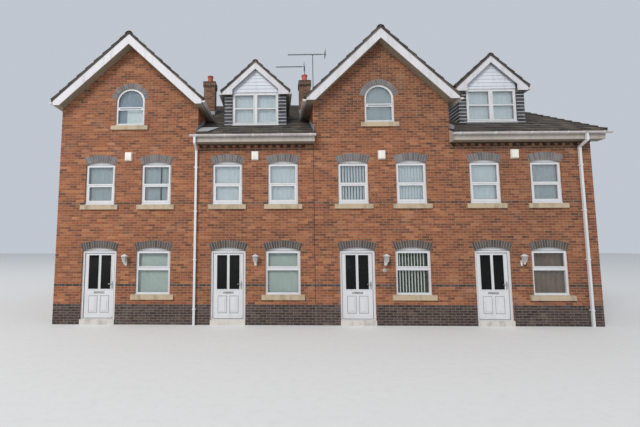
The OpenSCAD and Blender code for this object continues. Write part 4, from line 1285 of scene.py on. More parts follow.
@dataclass(frozen=True)
class Brickwork:
    """The stretcher-bond walls of the row and its chimneys.

    Attributes:
        field_top: Top of the walls below the eaves.
        verge_drop: How far below the ridge the brick of a gable stops.
        roof_drop: How far below the main roof's surface the end walls stop.
        side_low: Where the sides of a gable start, before the roof trims them.
        side_depth: How far into the building they run, before the roof trims them.
        shaft_courses: Courses of a chimney's shaft.
        cap_courses: Courses of its cap.
        cap_out: How far the cap stands out.
    """

    field_top: float = 5.427
    verge_drop: float = 0.358
    roof_drop: float = 0.185
    side_low: float = 5.3
    side_depth: float = 1.95
    shaft_courses: int = 18
    cap_courses: int = 3
    cap_out: float = 0.03

    def field(self, left: float, right: float, top: float, holes: Sequence[Area], face: Matrix,
              seed: float = 0.0, marked: Sequence[int] = PLINTH_COURSES) -> list[Piece]:
        """Lays a stretch of wall from the ground up, round its holes."""
        return [BRICKS.lay(area, face, seed=seed, marked=marked)
                for area in free_areas((left, right, 0, top), holes)]

    def front(self) -> None:
        """Lays the front below the eaves, with its plinth and its bands."""
        fields = []
        for house in HOUSES:
            left = EDGES[house] + (MOVEMENT_JOINT if house == 2 else 0)
            holes = [hole for opening, middle in openings(house) for hole in opening.holes(middle)]
            marked = BAND_COURSES if house in DORMERS else PLINTH_COURSES
            fields += self.field(left, EDGES[house + 1], self.field_top, holes, FRONT, marked=marked)
        place(join(fields), "front_bricks", Finish.BRICK, "red_brick")

    def gables(self) -> None:
        """Lays the gables above the eaves, round their windows."""
        fields = []
        for house, roof in GABLES.items():
            middle, arch = roof.window_x, roof.window_z + 1.12
            holes = replace(SASH, bottom=roof.window_z, top=arch).holes(middle)
            holes.append((middle - 0.33, middle + 0.33, arch, arch + 0.12))
            low = roof.top - self.verge_drop - roof.slope * roof.half - 0.02
            base = (EDGES[house], EDGES[house + 1], self.field_top, low)
            fields += [BRICKS.lay(area, FRONT) for area in free_areas(base, holes)]
            top = (EDGES[house], EDGES[house + 1], low, roof.top - self.verge_drop)
            cuts = ridge_cuts(roof, self.verge_drop)
            fields += [BRICKS.lay(area, FRONT, cuts) for area in free_areas(top, holes)]
        place(join(fields), "gable_bricks", Finish.BRICK, "red_brick")

    def sides(self) -> None:
        """Lays the sides of the gables above the neighbouring roofs."""
        under = Cut((0, -EAVES_OUT, EAVES_Z), (0, MAIN_SLOPE, -1))
        sides = []
        for edge, side, house in ((1, 1, 0), (2, -1, 2), (3, 1, 2)):
            span = sorted((0, side * self.side_depth))
            face = wall_face(90 * side, (EDGES[edge], 0, 0))
            area = (*span, self.side_low, GABLES[house].foot)
            sides.append(BRICKS.lay(area, face, (under,), 4))
        place(join(sides), "gable_side_bricks", Finish.BRICK, "red_brick")

    def rear(self) -> None:
        """Lays the rear wall."""
        holes = [hole for house in HOUSES for opening, middle in openings(house, rear=True)
                 for hole in opening.holes(middle)]
        fields = self.field(0, ROW, self.field_top, holes, REAR, 1)
        place(join(fields), "rear_bricks", Finish.BRICK, "red_brick")

    def ends(self) -> None:
        """Lays the two end walls."""
        top = RIDGE_Z - self.roof_drop
        foot = GABLES[0].foot
        step = DEPTH - main_depth(foot + self.roof_drop)
        cuts = main_cuts(self.roof_drop)
        face = wall_face(-90, (0, DEPTH, 0))
        left = self.field(0, step, self.field_top, (), face, 2) + self.field(step, DEPTH, foot, (), face, 2)
        left.append(BRICKS.lay((0, step, self.field_top, top), face, cuts, 2))
        place(join(left), "left_end_bricks", Finish.BRICK, "red_brick")
        face = wall_face(90, (ROW, 0, 0))
        right = self.field(0, DEPTH, self.field_top, (), face, 3)
        right.append(BRICKS.lay((0, DEPTH, self.field_top, top), face, cuts, 3))
        place(join(right), "right_end_bricks", Finish.BRICK, "red_brick")

    def chimneys(self) -> None:
        """Lays the chimney stacks, with two dark bands round the oversailing cap."""
        cap = STACK_TOP - self.cap_courses * COURSE
        shaft = (0.0, cap - self.shaft_courses * COURSE, self.shaft_courses, ())
        bricks = []
        for x in STACKS:
            for turn in (0, 90, 180, 270):
                ahead = Vector((0, -1, 0)) @ Matrix.Rotation(-math.radians(turn), 3, "Z")
                for out, low, courses, blue in (shaft, (self.cap_out, cap, self.cap_courses, (0, 2))):
                    half = STACK_HALF + out
                    area = (-half, half, 0, courses * COURSE)
                    face = wall_face(turn, (x + ahead.x * half, STACK_Y + ahead.y * half, low))
                    bricks.append(BRICKS.lay(area, face, seed=5 + x, marked=blue))
        place(join(bricks), "chimney_bricks", Finish.STACK, "red_brick")

    def build(self) -> None:
        """Lays all brickwork, and seals the movement joint beside the third house."""
        self.front()
        self.gables()
        self.rear()
        self.ends()
        self.sides()
        self.chimneys()
        left = EDGES[2] - 0.005
        joint = block((left, -0.004, 0.02), (left + MOVEMENT_JOINT + 0.01, 0.001, self.field_top))
        place(bevel(joint, 0.002), "movement_joint", Finish.SEALANT, "red_brick")


@dataclass(frozen=True)
class Arch:
    """One arch of soldier bricks.

    Attributes:
        centre: Middle of its opening.
        radius: Radius of its inner curve.
        axis_z: Height of the curve's centre.
        half_angle: Angle from the crown to each end.
        ring: Depth of the ring.
        face: The wall that it is in.
        seed: Varies the tones.
    """

    centre: float
    radius: float
    axis_z: float
    half_angle: float
    ring: float
    face: Matrix
    seed: float

    def wedge(self, step: float, joint: float, proud: float) -> Piece:
        """Models one wedge-shaped brick at the crown, with the curve's centre at the origin.

        Args:
            step: Angle from brick to brick.
            joint: What the joint takes off its width.
            proud: How far it stands out.

        Returns:
            The brick.
        """
        low = step * self.radius - joint
        high = step * (self.radius + self.ring) - joint
        piece = block((-low / 2, -proud, self.radius + joint / 4),
                      (low / 2, 0.001, self.radius + self.ring - joint / 4))
        return taper(piece, (0, 0, 1), (high / low, 1, 1), (0, 0, self.radius + self.ring))

    def turned(self, piece: Piece, step: float, count: int) -> Piece:
        """Spins a brick over the whole ring.

        Args:
            piece: The brick at the crown.
            step: Angle from brick to brick.
            count: The number of bricks.

        Returns:
            The ring, with the curve's centre at the origin.
        """
        piece.data.transform(Matrix.Rotation(self.half_angle - step / 2, 4, "Y"))
        with editing(piece):
            bpy.ops.mesh.select_all(action="SELECT")
            bpy.ops.mesh.spin(steps=count - 1, dupli=True, angle=step * (count - 1), center=(0, 0, 0),
                              axis=(0, 1, 0))
        return piece

    def build(self) -> tuple[Piece, Piece]:
        """Models the ring.

        Returns:
            The mortar wedges and the bricks.
        """
        count = round(2 * self.half_angle * (self.radius + 0.45 * self.ring) / 0.075)
        step = 2 * self.half_angle / count
        bed = self.turned(self.wedge(step, 0.0, 0.0052), step, count)
        bricks = self.turned(self.wedge(step, 0.014, 0.0085), step, count)
        centres = face_centres(bricks)
        number = np.floor((np.arctan2(centres[:, 0], centres[:, 2]) + self.half_angle) / step + 1e-3)
        mark(bricks, "tone", scattered(number * UNIT_STEP, self.seed * 7.3))
        for piece in (bed, bricks):
            piece.data.transform(self.face @ Matrix.Translation((self.centre, 0, self.axis_z)))
        return bed, bricks


@dataclass(frozen=True)
class Arches:
    """The flat arches over doors and windows and the round ones of the gables.

    Attributes:
        ring: Depth of a flat arch.
        round_ring: Depth of a round arch.
        round_angle: Angle from the crown of a round arch to each end, in degrees.
    """

    ring: float = 0.225
    round_ring: float = 0.155
    round_angle: float = 79

    def flat(self, opening: Opening, middle: float, face: Matrix) -> Arch:
        """Works out a flat arch.

        Args:
            opening: The size of its opening.
            middle: Middle of the opening.
            face: Its wall.

        Returns:
            The arch.
        """
        half, rise = opening.half, opening.rise
        radius = (half * half + rise * rise) / (2 * rise)
        angle = math.atan2(half, radius - rise)
        return Arch(middle, radius, opening.spring + rise - radius, angle, self.ring, face, middle)

    def build(self) -> None:
        """Models all arches."""
        ground, upper = [], []
        for house in HOUSES:
            for rear, face in ((False, FRONT), (True, REAR)):
                for opening, middle in openings(house, rear):
                    (upper if opening is SASH else ground).append(self.flat(opening, middle, face))
        for roof in GABLES.values():
            upper.append(Arch(roof.window_x, roof.window_half, roof.window_z + GABLE_SPRING,
                              math.radians(self.round_angle), self.round_ring, FRONT, roof.centre))
        for storey, arches, finish in (("ground", ground, Finish.SOLDIER),
                                       ("upper", upper, Finish.PALE_SOLDIER)):
            beds, bricks = zip(*(arch.build() for arch in arches))
            place(join(beds), f"{storey}_arch_joints", Finish.ARCH_BED, "blue_brick")
            place(join(bricks), f"{storey}_arch_bricks", finish, "blue_brick")


# Roofs


@dataclass(frozen=True)
class Lapped:
    """A tile or board, thick at its lower edge and tucked under the next at its head.

    Attributes:
        butt: Its thickness at the lower edge.
        head: Its thickness at the head.
        lap: How far it runs under the next course.
        gap: Half the gap beside it.
    """

    butt: float
    head: float
    lap: float
    gap: float = 0.002

    def wedge(self, left: float, right: float, gauge: float) -> Piece:
        """Models one in the first course.

        Args:
            left: Its left edge.
            right: Its right edge.
            gauge: Height of a course.

        Returns:
            The piece.
        """
        piece = block((left, -self.butt, 0), (right, 0, gauge + self.lap))
        thinner = (0, self.butt - self.head, 0)
        return nudge(piece, lambda at: at.y < -self.butt / 2 and at.z > gauge / 2, thinner)

    def model(self, cover: float, gauge: float) -> Piece:
        """Models one from the pitch along a course and the height of a course."""
        return self.wedge(self.gap, cover - self.gap, gauge)


MAIN_COURSES = 20
TILE_PITCH = 0.30
ROOF_TILE = Lapped(0.030, 0.004, 0.02)
VERGE_TILE = Lapped(0.048, 0.018, 0.02)
ROOF_TILES = Laid(TILE_PITCH, MAIN_LENGTH / MAIN_COURSES, ROOF_TILE.model)
HUNG_TILES = Laid(0.165, HUNG_COURSE, Lapped(0.017, 0.003, 0.01).model)
SHIPLAP = Laid(3.0, 0.12, Lapped(0.016, 0.003, 0.004, 0.0).model, bond=0.0)

# The kinds of cross roof, with the places of their front edges and the courses of a slope
CROSS_ROOFS = (
    ("gable", GABLES, -FASCIA_OUT - TILE_OUT, 9),
    ("dormer", DORMERS, DORMER_Y - DORMER_OUT - TILE_OUT, 5),
)


@dataclass(frozen=True)
class Roofs:
    """The tiled slopes, with their ridges, valleys and verges.

    Attributes:
        valley_lift: How far above the crossing slope the tiles are cut.
        dormer_back: Where the main tiles behind a dormer start.
        verge_width: Width of the tile ends of a verge.
        verge_tone: Their tone.
        ridge_step: Length of a ridge tile.
    """

    valley_lift: float = 0.035
    dormer_back: float = 2.6
    verge_width: float = 0.11
    verge_tone: float = 0.2
    ridge_step: float = 0.45

    def clear_of(self, roof: CrossRoof, side: int) -> tuple[Cut]:
        """A cut that keeps main tiles behind the left (-1) or right (1) slope of a cross roof."""
        return (Cut((roof.centre, 0, roof.top + self.valley_lift), (-side * roof.slope, 0, -1)),)

    def lay_main(self, left: float, right: float, low: float = 0.0, high: float = MAIN_LENGTH,
                 cuts: Sequence[Cut] = ()) -> Piece:
        """Lays a field of the front main slope, between two distances up it."""
        return ROOF_TILES.lay((left, right, low, high), MAIN_FRONT, cuts, 1)

    def main_front(self) -> None:
        """Lays the front main slope, cut to the gables and dormers."""
        fields = []
        for house, roof in GABLES.items():
            for side, left, right in ((-1, EDGES[house], roof.centre), (1, roof.centre, EDGES[house + 1])):
                fields.append(self.lay_main(left, right, cuts=self.clear_of(roof, side)))
        first = GABLES[0]
        valley = main_v(main_depth(first.top - first.slope * first.box))
        fields.append(self.lay_main(-TILE_END, 0, valley, cuts=self.clear_of(first, -1)))
        for house, roof in DORMERS.items():
            low, high = roof.centre - roof.half, roof.centre + roof.half
            fields.append(self.lay_main(EDGES[house], low))
            fields.append(self.lay_main(high, EDGES[house + 1] + (TILE_END if house == 3 else 0)))
            fields.append(self.lay_main(low, high, 0, main_v(DORMER_Y) - 0.02))
            behind = main_v(self.dormer_back)
            for side, left, right in ((-1, low, roof.centre), (1, roof.centre, high)):
                fields.append(self.lay_main(left, right, behind, cuts=self.clear_of(roof, side)))
        place(join(fields), "front_roof_tiles", Finish.TILE, "roof_tile")

    def main_rear(self) -> None:
        """Lays the rear main slope, and carries it on behind the ridges that stand above the main one."""
        fields = [ROOF_TILES.lay((-TILE_END, ROW + TILE_END, 0, MAIN_LENGTH), MAIN_REAR, seed=2)]
        for roof in GABLES.values():
            middle = ROW - roof.centre
            area = (middle - 0.2, middle + 0.2, MAIN_LENGTH, MAIN_LENGTH + 0.25)
            fields.append(ROOF_TILES.lay(area, MAIN_REAR, ridge_cuts(roof, 0.0), 2))
        place(join(fields), "rear_roof_tiles", Finish.TILE, "roof_tile")

    def slopes(self, roof: CrossRoof) -> tuple[Matrix, Matrix, float]:
        """Works out the slopes of a cross roof.

        Args:
            roof: The roof.

        Returns:
            The planes of its left and right slopes, and their length.
        """
        pitch = math.radians(roof.pitch)
        eaves = roof.top - roof.slope * roof.tile
        left = slope_face(-90, (roof.centre - roof.tile, 0, eaves), pitch)
        right = slope_face(90, (roof.centre + roof.tile, 0, eaves), pitch)
        return left, right, roof.tile / math.cos(pitch)

    def cross(self, roof: CrossRoof, start: float, courses: int) -> list[Piece]:
        """Lays the two slopes of a gable or dormer roof.

        Args:
            roof: The roof.
            start: Place of its front edge.
            courses: The number of courses of a slope.

        Returns:
            Two fields of tiles.
        """
        left, right, length = self.slopes(roof)
        tiles = Laid(TILE_PITCH, length / courses, ROOF_TILE.model)
        cuts = (Cut((0, -EAVES_OUT, EAVES_Z + self.valley_lift), (0, MAIN_SLOPE, -1)),
                Cut((0, RIDGE_Y, RIDGE_Z + 0.01), (0, MAIN_SLOPE, 1)))
        return [tiles.lay((-RIDGE_Y, -start, 0, length), left, cuts, 3),
                tiles.lay((start, RIDGE_Y, 0, length), right, cuts, 4)]

    def crosses(self) -> None:
        """Lays the roofs of the gables and dormers."""
        for kind, roofs, start, courses in CROSS_ROOFS:
            fields = [field for roof in roofs.values() for field in self.cross(roof, start, courses)]
            place(join(fields), f"{kind}_roof_tiles", Finish.TILE, "roof_tile")

    def ridge_tile(self, radius: float, drop: float, slope: float) -> Piece:
        """Models one ridge tile along x, seated on two slopes, with a rounded lip at its end.

        Args:
            radius: Its radius.
            drop: How far its middle lies below the ridge.
            slope: Fall of the slopes.

        Returns:
            The tile, with the ridge at the origin.
        """
        start, sides = (0.004, 0, -drop), 24
        tile = rod(radius, start, (self.ridge_step - 0.004, 0, -drop), sides)
        lip = rod(radius + 0.012, start, (0.05, 0, -drop), sides)
        whole = join([tile, lip])
        halves = []
        for side in (-1, 1):
            half = cut(copy(whole), (0, 0, 0), (0, -side, 0))
            halves.append(cut(half, (0, 0, 0), (0, -side * slope, -1)))
        bpy.data.objects.remove(whole)
        return join(halves)

    def ridge(self, start: Point, turn: float, length: float, slope: float, radius: float = 0.12,
              drop: float = 0.085, cuts: Sequence[Cut] = ()) -> Piece:
        """Lays a row of ridge tiles.

        Args:
            start: Where the row starts, at the ridge.
            turn: Its direction from the row's length, in degrees.
            length: Its length.
            slope: Fall of the slopes below it.
            radius: Radius of the tiles.
            drop: How far their middle lies below the ridge.
            cuts: Planes that trim it.

        Returns:
            The row.
        """
        piece = self.ridge_tile(radius, drop, slope)
        count = math.ceil(length / self.ridge_step)
        repeat(piece, count, (self.ridge_step, 0, 0))
        cut(piece, (length, 0, 0), (1, 0, 0))
        number = np.floor(face_centres(piece)[:, 0] / self.ridge_step)
        mark(piece, "tone", scattered(number * UNIT_STEP, start[0]))
        piece.data.transform(wall_face(turn, start))
        for plane in cuts:
            cut(piece, plane.at, plane.away)
        return smooth(piece)

    def ridges(self) -> None:
        """Lays all ridges."""
        rows = [self.ridge((-TILE_END, RIDGE_Y, RIDGE_Z), 0, ROW + 2 * TILE_END, MAIN_SLOPE)]
        above = (Cut((0, -EAVES_OUT, EAVES_Z + 0.02), (0, MAIN_SLOPE, -1)),)
        for kind, roofs, y, _ in CROSS_ROOFS:
            for roof in roofs.values():
                start = (roof.centre, y, roof.top)
                if kind == "gable":
                    length = RIDGE_Y - 0.125 - (roof.top - RIDGE_Z) - y
                    rows.append(self.ridge(start, 90, length, roof.slope))
                else:
                    length = RIDGE_Y - DORMER_Y - 0.4
                    rows.append(self.ridge(start, 90, length, roof.slope, 0.095, 0.065, above))
        place(join(rows), "ridge_row", Finish.RIDGE, "ridge_tile", stands_for=("ridge_tiles",))

    def verge(self, face: Matrix, at: float, side: int, length: float, courses: int) -> Piece:
        """Models the thick tile ends of a verge, one to a course, bedded on mortar.

        Args:
            face: The slope.
            at: Place of the verge along the eaves.
            side: 1 where the slope lies to the right of the verge and -1 where it lies to the left.
            length: Length of the slope.
            courses: The number of its courses.

        Returns:
            The row of tile ends.
        """
        gauge = length / courses
        left, right = sorted((at - side * 0.006, at + side * self.verge_width))
        piece = bevel(VERGE_TILE.wedge(left, right, gauge), 0.004)
        repeat(piece, courses, (0, 0, gauge))
        cut(piece, (0, 0, length), (0, 0, 1))
        piece.data.transform(face)
        return piece

    def verges(self) -> None:
        """Finishes the verges of the gables, the dormers and the row's ends."""
        rows = []
        for _, roofs, start, courses in CROSS_ROOFS:
            for roof in roofs.values():
                left, right, length = self.slopes(roof)
                rows.append(self.verge(left, -start, -1, length, courses))
                rows.append(self.verge(right, start, 1, length, courses))
        for face, at, side in ((MAIN_FRONT, ROW + TILE_END, -1), (MAIN_REAR, ROW + TILE_END, -1),
                               (MAIN_REAR, -TILE_END, 1)):
            rows.append(self.verge(face, at, side, MAIN_LENGTH, MAIN_COURSES))
        for row in rows:
            mark(row, "tone", np.full(len(row.data.polygons), self.verge_tone))
        place(join(rows), "verge_tiles", Finish.TILE, "roof_tile")

    def build(self) -> None:
        """Lays all roofs."""
        self.main_front()
        self.main_rear()
        self.crosses()
        self.verges()
        self.ridges()


@dataclass(frozen=True)
class Dormers:
    """The hung tiles and boards of the dormers, and the lead patch on the eaves between them.

    Attributes:
        board_drop: How far below the ridge the boards over the window stop.
        cheek_low: Where the tiles of a cheek start, before the roof trims them.
        cheek_back: How far into the building they run, before the roof trims them.
        patch_left: Left edge of the lead patch.
        patch_width: Its width at its top.
        patch_slant: How much narrower it is at its foot.
    """

    board_drop: float = 0.175
    cheek_low: float = 6.2
    cheek_back: float = 2.9
    patch_left: float = EDGES[1] + 0.02
    patch_width: float = 0.6
    patch_slant: float = 0.26

    def build(self) -> None:
        """Dresses both dormers and lays the lead patch."""
        tiles = []
        boards = []
        above = (Cut((0, -EAVES_OUT, EAVES_Z), (0, MAIN_SLOPE, -1)),)
        for roof in DORMERS.values():
            front = wall_face(0, (roof.centre, DORMER_Y, 0))
            for side in (-1, 1):
                span = sorted((side * roof.window_half, side * (roof.half + 0.012)))
                tiles.append(HUNG_TILES.lay((*span, main_top(DORMER_Y), roof.foot), front, seed=6))
            for side, span in ((-1, (-self.cheek_back, -DORMER_Y)), (1, (DORMER_Y, self.cheek_back))):
                cheek = wall_face(90 * side, (roof.centre + side * roof.half, 0, 0))
                area = (*span, self.cheek_low, roof.foot)
                tiles.append(HUNG_TILES.lay(area, cheek, above, 7 if side < 0 else 8))
            area = (-roof.window_half, roof.window_half, roof.window_z + DORMER_WINDOW_HEIGHT,
                    roof.top - self.board_drop)
            face = wall_face(0, (roof.centre, DORMER_Y + 0.008, 0))
            boards.append(SHIPLAP.lay(area, face, ridge_cuts(roof, self.board_drop)))
        place(join(tiles), "hung_tiles", Finish.HUNG, "hung_tile")
        place(join(boards), "gablet_boards", Finish.SHIPLAP, "shiplap")
        middle = self.patch_left + self.patch_width / 2
        sheet = block((self.patch_left, -0.044, 0.05), (self.patch_left + self.patch_width, -0.034, 0.78))
        nudge(sheet, lambda at: at.x > middle and at.z < 0.3, (-self.patch_slant, 0, 0))
        bevel(sheet, 0.003)
        sheet.data.transform(MAIN_FRONT)
        place(sheet, "eaves_lead", Finish.PALE_LEAD, "lead")


# Windows and doors


@dataclass(frozen=True)
class Windows:
    """The sashes, beads and cills that stand proud of the window frames.

    Attributes:
        sash: How far an opening sash stands out from its frame.
        bead: How far a glazing bead stands out.
        light: How far the light of a gable window stands out.
        trim: How far the outer edge of a frame stands out.
    """

    sash: float = 0.018
    bead: float = 0.007
    light: float = 0.012
    trim: float = 0.004

    def cill(self, half: float, bottom: float, face: float = REVEAL) -> Piece:
        """Models the plastic cill under a frame.

        Args:
            half: Half its length.
            bottom: Its underside.
            face: How far into the building the frame's front lies.

        Returns:
            The cill.
        """
        piece = block((-half, face - 0.035, bottom), (half, face + 0.01, bottom + 0.028))
        nudge(piece, lambda at: at.y < face - 0.03 and at.z > bottom + 0.01, (0, 0, -0.010))
        return bevel(piece, 0.002)

    def head_shadow_strips(self, half: float, top: float, places: Sequence[Matrix]) -> Piece:
        """Models dark strips, of a given half length, that paint the shadow line between the tops of frames
        and the panels over them.
        """
        shadow_strip = block((-half, REVEAL - 0.006, top - 0.008), (half, REVEAL + 0.004, top + 0.006))
        return join(copy_to(bevel(shadow_strip, 0.001), places))

    def sash_window(self) -> Piece:
        """Models a first-floor window about x = 0: two sashes with horns on the upper one.

        Returns:
            The piece.
        """
        z, half = SASH.bottom, SASH.half
        parts = [
            casing(-0.422, 0.422, z + 0.058, z + 0.624, 0.072, REVEAL - self.bead, 0.012),
            casing(-0.425, 0.425, z + 0.602, z + 1.212, 0.045, REVEAL - self.sash, 0.022),
            casing(-half, half, z, SASH.spring, 0.026, REVEAL - self.trim, 0.010),
            self.cill(half - 0.003, z),
        ]
        foot = z + 0.545
        for side in (-1, 1):
            middle = side * 0.40
            horn = block((middle - 0.02, REVEAL - 0.017, foot), (middle + 0.02, REVEAL, z + 0.605))
            parts.append(bevel(taper(horn, (0, 0, -1), (0.45, 0.6, 1), (side * 0.412, REVEAL, foot)), 0.003))
        return join(parts)

    def ground_window(self) -> Piece:
        """Models a ground-floor window about x = 0: a fixed light under a hung fanlight.

        Returns:
            The piece.
        """
        z, half = GROUND.bottom, GROUND.half
        return join([
            casing(-half, half, z, GROUND.spring, 0.03, REVEAL - self.trim, 0.010),
            casing(-0.475, 0.475, z + 0.795, z + 1.26, 0.038, REVEAL - self.sash, 0.022),
            casing(-0.474, 0.474, z + 0.046, z + 0.729, 0.016, REVEAL - 0.006, 0.012),
            self.cill(half - 0.003, z),
        ])

    def gable_window(self) -> Piece:
        """Models a round-headed gable window about x = 0, with its bottom at z = 0.

        Returns:
            The piece.
        """
        front, back = REVEAL - self.light, REVEAL + 0.004
        half = 0.42
        parts = [
            casing(-half, half, 0.035, 0.525, 0.03, front, 0.016),
            self.cill(0.452, 0.0),
            block((-half, front, 0.562), (half, back, 0.592)),
        ]
        for side in (-1, 1):
            middle = side * 0.405
            parts.append(block((middle - 0.0145, front, 0.585), (middle + 0.0145, back, GABLE_SPRING)))
        bow = block((half - 0.029, front, GABLE_SPRING - 0.001), (half, back, GABLE_SPRING))
        with editing(bow) as mesh:
            pick(mesh.faces, lambda face: face.normal.z > 0.9)
            bpy.ops.mesh.spin(steps=20, angle=math.pi, center=(0, 0, GABLE_SPRING), axis=(0, 1, 0))
        parts.append(bow)
        return join(parts)

    def dormer_window(self, roof: CrossRoof) -> Piece:
        """Models a dormer window in its place: two casements with a bar each.

        Args:
            roof: The dormer.

        Returns:
            The piece.
        """
        z, half = roof.window_z, roof.window_half
        face = DORMER_Y + 0.02
        parts = [casing(-half, half, z, z + DORMER_WINDOW_HEIGHT, 0.034, face - self.trim, 0.010),
                 self.cill(half + 0.023, z - 0.012, face)]
        for side in (-1, 1):
            left, right = sorted((side * 0.030, side * (half - 0.05)))
            parts.append(casing(left, right, z + 0.05, z + 1.06, 0.035, face - 0.014, 0.018))
            bar = block((left + 0.03, face - 0.008, z + 0.545), (right - 0.03, face + 0.004, z + 0.585))
            parts.append(bar)
        return move(join(parts), (roof.centre, 0, 0))

    def build(self) -> None:
        """Dresses all windows."""
        places: dict[Opening, list[Matrix]] = {SASH: [], GROUND: [], DOOR: []}
        for house in HOUSES:
            for rear, face in ((False, FRONT), (True, REAR)):
                for opening, middle in openings(house, rear):
                    places[opening].append(face @ Matrix.Translation((middle, 0, 0)))
        gables = [Matrix.Translation((roof.window_x, 0, roof.window_z)) for roof in GABLES.values()]
        for name, pattern, spots in (("sash_beads", self.sash_window(), places[SASH]),
                                     ("ground_window_beads", self.ground_window(), places[GROUND]),
                                     ("gable_window_beads", self.gable_window(), gables)):
            place(join(copy_to(pattern, spots)), name, Finish.UPVC, "white_upvc")
        dormers = [self.dormer_window(roof) for roof in DORMERS.values()]
        place(join(dormers), "dormer_window_beads", Finish.UPVC, "white_upvc")
        shadow_strips = [self.head_shadow_strips(min(opening.half, GROUND.half), opening.spring, spots)
                 for opening, spots in places.items()]
        place(join(shadow_strips), "head_shadow_strips", Finish.GROOVE, "white_upvc")


@dataclass(frozen=True)
class Curtains:
    """The cloth and the slats behind the windows.

    Attributes:
        setback: How far into the building they hang.
        upper: Bottom and top of what hangs on the first floor.
        ground: Bottom and top of what hangs on the ground floor.
        half: Half the width of a net on the first floor.
        pitch: Step from slat to slat.
        segments: The number of steps across a sheet, in which its folds are modelled.
    """

    setback: float = 0.145
    upper: tuple[float, float] = (3.62, 4.80)
    ground: tuple[float, float] = (0.93, 2.15)
    half: float = 0.42
    pitch: float = 0.089
    segments: int = 49

    def sheet(self, name: str, frames: str, area: Area, kind: Finish, wave: float,
              face: float = 0.0) -> None:
        """Hangs one sheet.

        Args:
            name: Its name.
            frames: The frames that it hangs from; not used.
            area: Where it hangs.
            kind: Its cloth.
            wave: Depth of its folds.
            face: How far into the building the wall's front lies.
        """
        left, right, bottom, top = area
        bpy.ops.mesh.primitive_grid_add(
            x_subdivisions=self.segments, y_subdivisions=7, size=1, rotation=(math.pi / 2, 0, 0),
            location=((left + right) / 2, face + self.setback, (bottom + top) / 2))
        piece = bpy.context.object
        piece.scale = (right - left, top - bottom, 1)
        bpy.ops.object.transform_apply(location=True, rotation=True, scale=True)
        corners = piece.data.vertices
        for corner in corners:
            along = corner.co.x * 42 + 0.8 * math.sin(corner.co.x * 9)
            corner.co.y += wave * math.sin(along) * (0.6 + 0.4 * (top - corner.co.z) / (top - bottom))
        smooth(piece, 80)
        place(piece, name, kind, "soffit_board")

    def slats(self, name: str, area: Area, width: float, finish: Finish) -> None:
        """Hangs a row of vertical slats.

        Args:
            name: Its name.
            area: Where it hangs.
            width: Width of a slat.
            finish: Its finish.
        """
        left, right, bottom, top = area
        piece = block((left, self.setback, bottom), (left + width, self.setback + 0.0015, top))
        with editing(piece) as mesh:
            pick(mesh.faces, lambda face: abs(face.normal.y) > 0.9)
            bpy.ops.mesh.subdivide(number_cuts=1)
        repeat(piece, round((right - left) / self.pitch), (self.pitch, 0, 0))
        place(piece, name, finish, "soffit_board")

    def first_floor(self) -> None:
        """Hangs what shows on the first floor, with a gap between two nets in the first house."""
        hung = ((Finish.DIM_NET, Finish.DIM_NET), (Finish.NET, Finish.NET), (None, None),
                (Finish.NET, Finish.DIM_NET))
        for house, kinds in enumerate(hung):
            for side, tag, kind in zip((-1, 1), ("left", "right"), kinds):
                middle = CENTRES[house] + side * SASH_OFFSETS[house]
                name = f"{house + 1}_{tag}"
                if kind is None:
                    area = (middle - 0.40, middle + 0.40, *self.upper)
                    self.slats(f"first_slats_{name}", area, 0.082 if side > 0 else 0.060, Finish.NET)
                else:
                    reach = 0.095 if (house, side) == (0, 1) else self.half
                    area = (middle - self.half, middle + reach, *self.upper)
                    self.sheet(f"first_net_{name}", "first_window_frames", area, kind, 0.006)
        middle = CENTRES[0] + SASH_OFFSETS[0]
        area = (middle + 0.145, middle + self.half, *self.upper)
        self.sheet("first_net_1_end", "first_window_frames", area, Finish.DIM_NET, 0.006)

    def ground_floor(self) -> None:
        """Hangs what shows on the ground floor."""
        for house in (0, 1, 3):
            middle = CENTRES[house] + GROUND_WINDOW_OFFSET
            area = (middle - 0.48, middle + 0.48, *self.ground)
            kind, wave = (Finish.DRAPE, 0.02) if house == 3 else (Finish.BLIND, 0.003)
            self.sheet(f"ground_blind_{house + 1}", "ground_window_frames", area, kind, wave)
        middle = CENTRES[2] + GROUND_WINDOW_OFFSET
        self.slats("ground_slats_3", (middle - 0.46, middle + 0.46, *self.ground), 0.031, Finish.SLATS)

    def roofs(self) -> None:
        """Hangs what shows in the gables and dormers, with a pale sheet in the first gable's lower pane."""
        for house, roof in GABLES.items():
            middle, z = roof.window_x, roof.window_z
            area = (middle - self.half, middle + self.half, z + 0.04, z + 1.18)
            kind = Finish.DIM_NET if house else Finish.GREY_NET
            self.sheet(f"gable_net_{house + 1}", "gable_window_frames", area, kind, 0.005)
        middle, z = GABLES[0].window_x, GABLES[0].window_z
        area = (middle - 0.14, middle + self.half, z + 0.04, z + 0.54)
        self.sheet("gable_panel_1", "gable_window_frames", area, Finish.NET, 0.002, -0.012)
        for house, roof in DORMERS.items():
            half, z = roof.window_half - 0.06, roof.window_z
            area = (roof.centre - half, roof.centre + half, z + 0.07, z + 1.08)
            self.sheet(f"dormer_net_{house + 1}", "dormer_window_frames", area, Finish.NET, 0.006, DORMER_Y)

    def build(self) -> None:
        """Hangs everything."""
        self.first_floor()
        self.ground_floor()
        self.roofs()


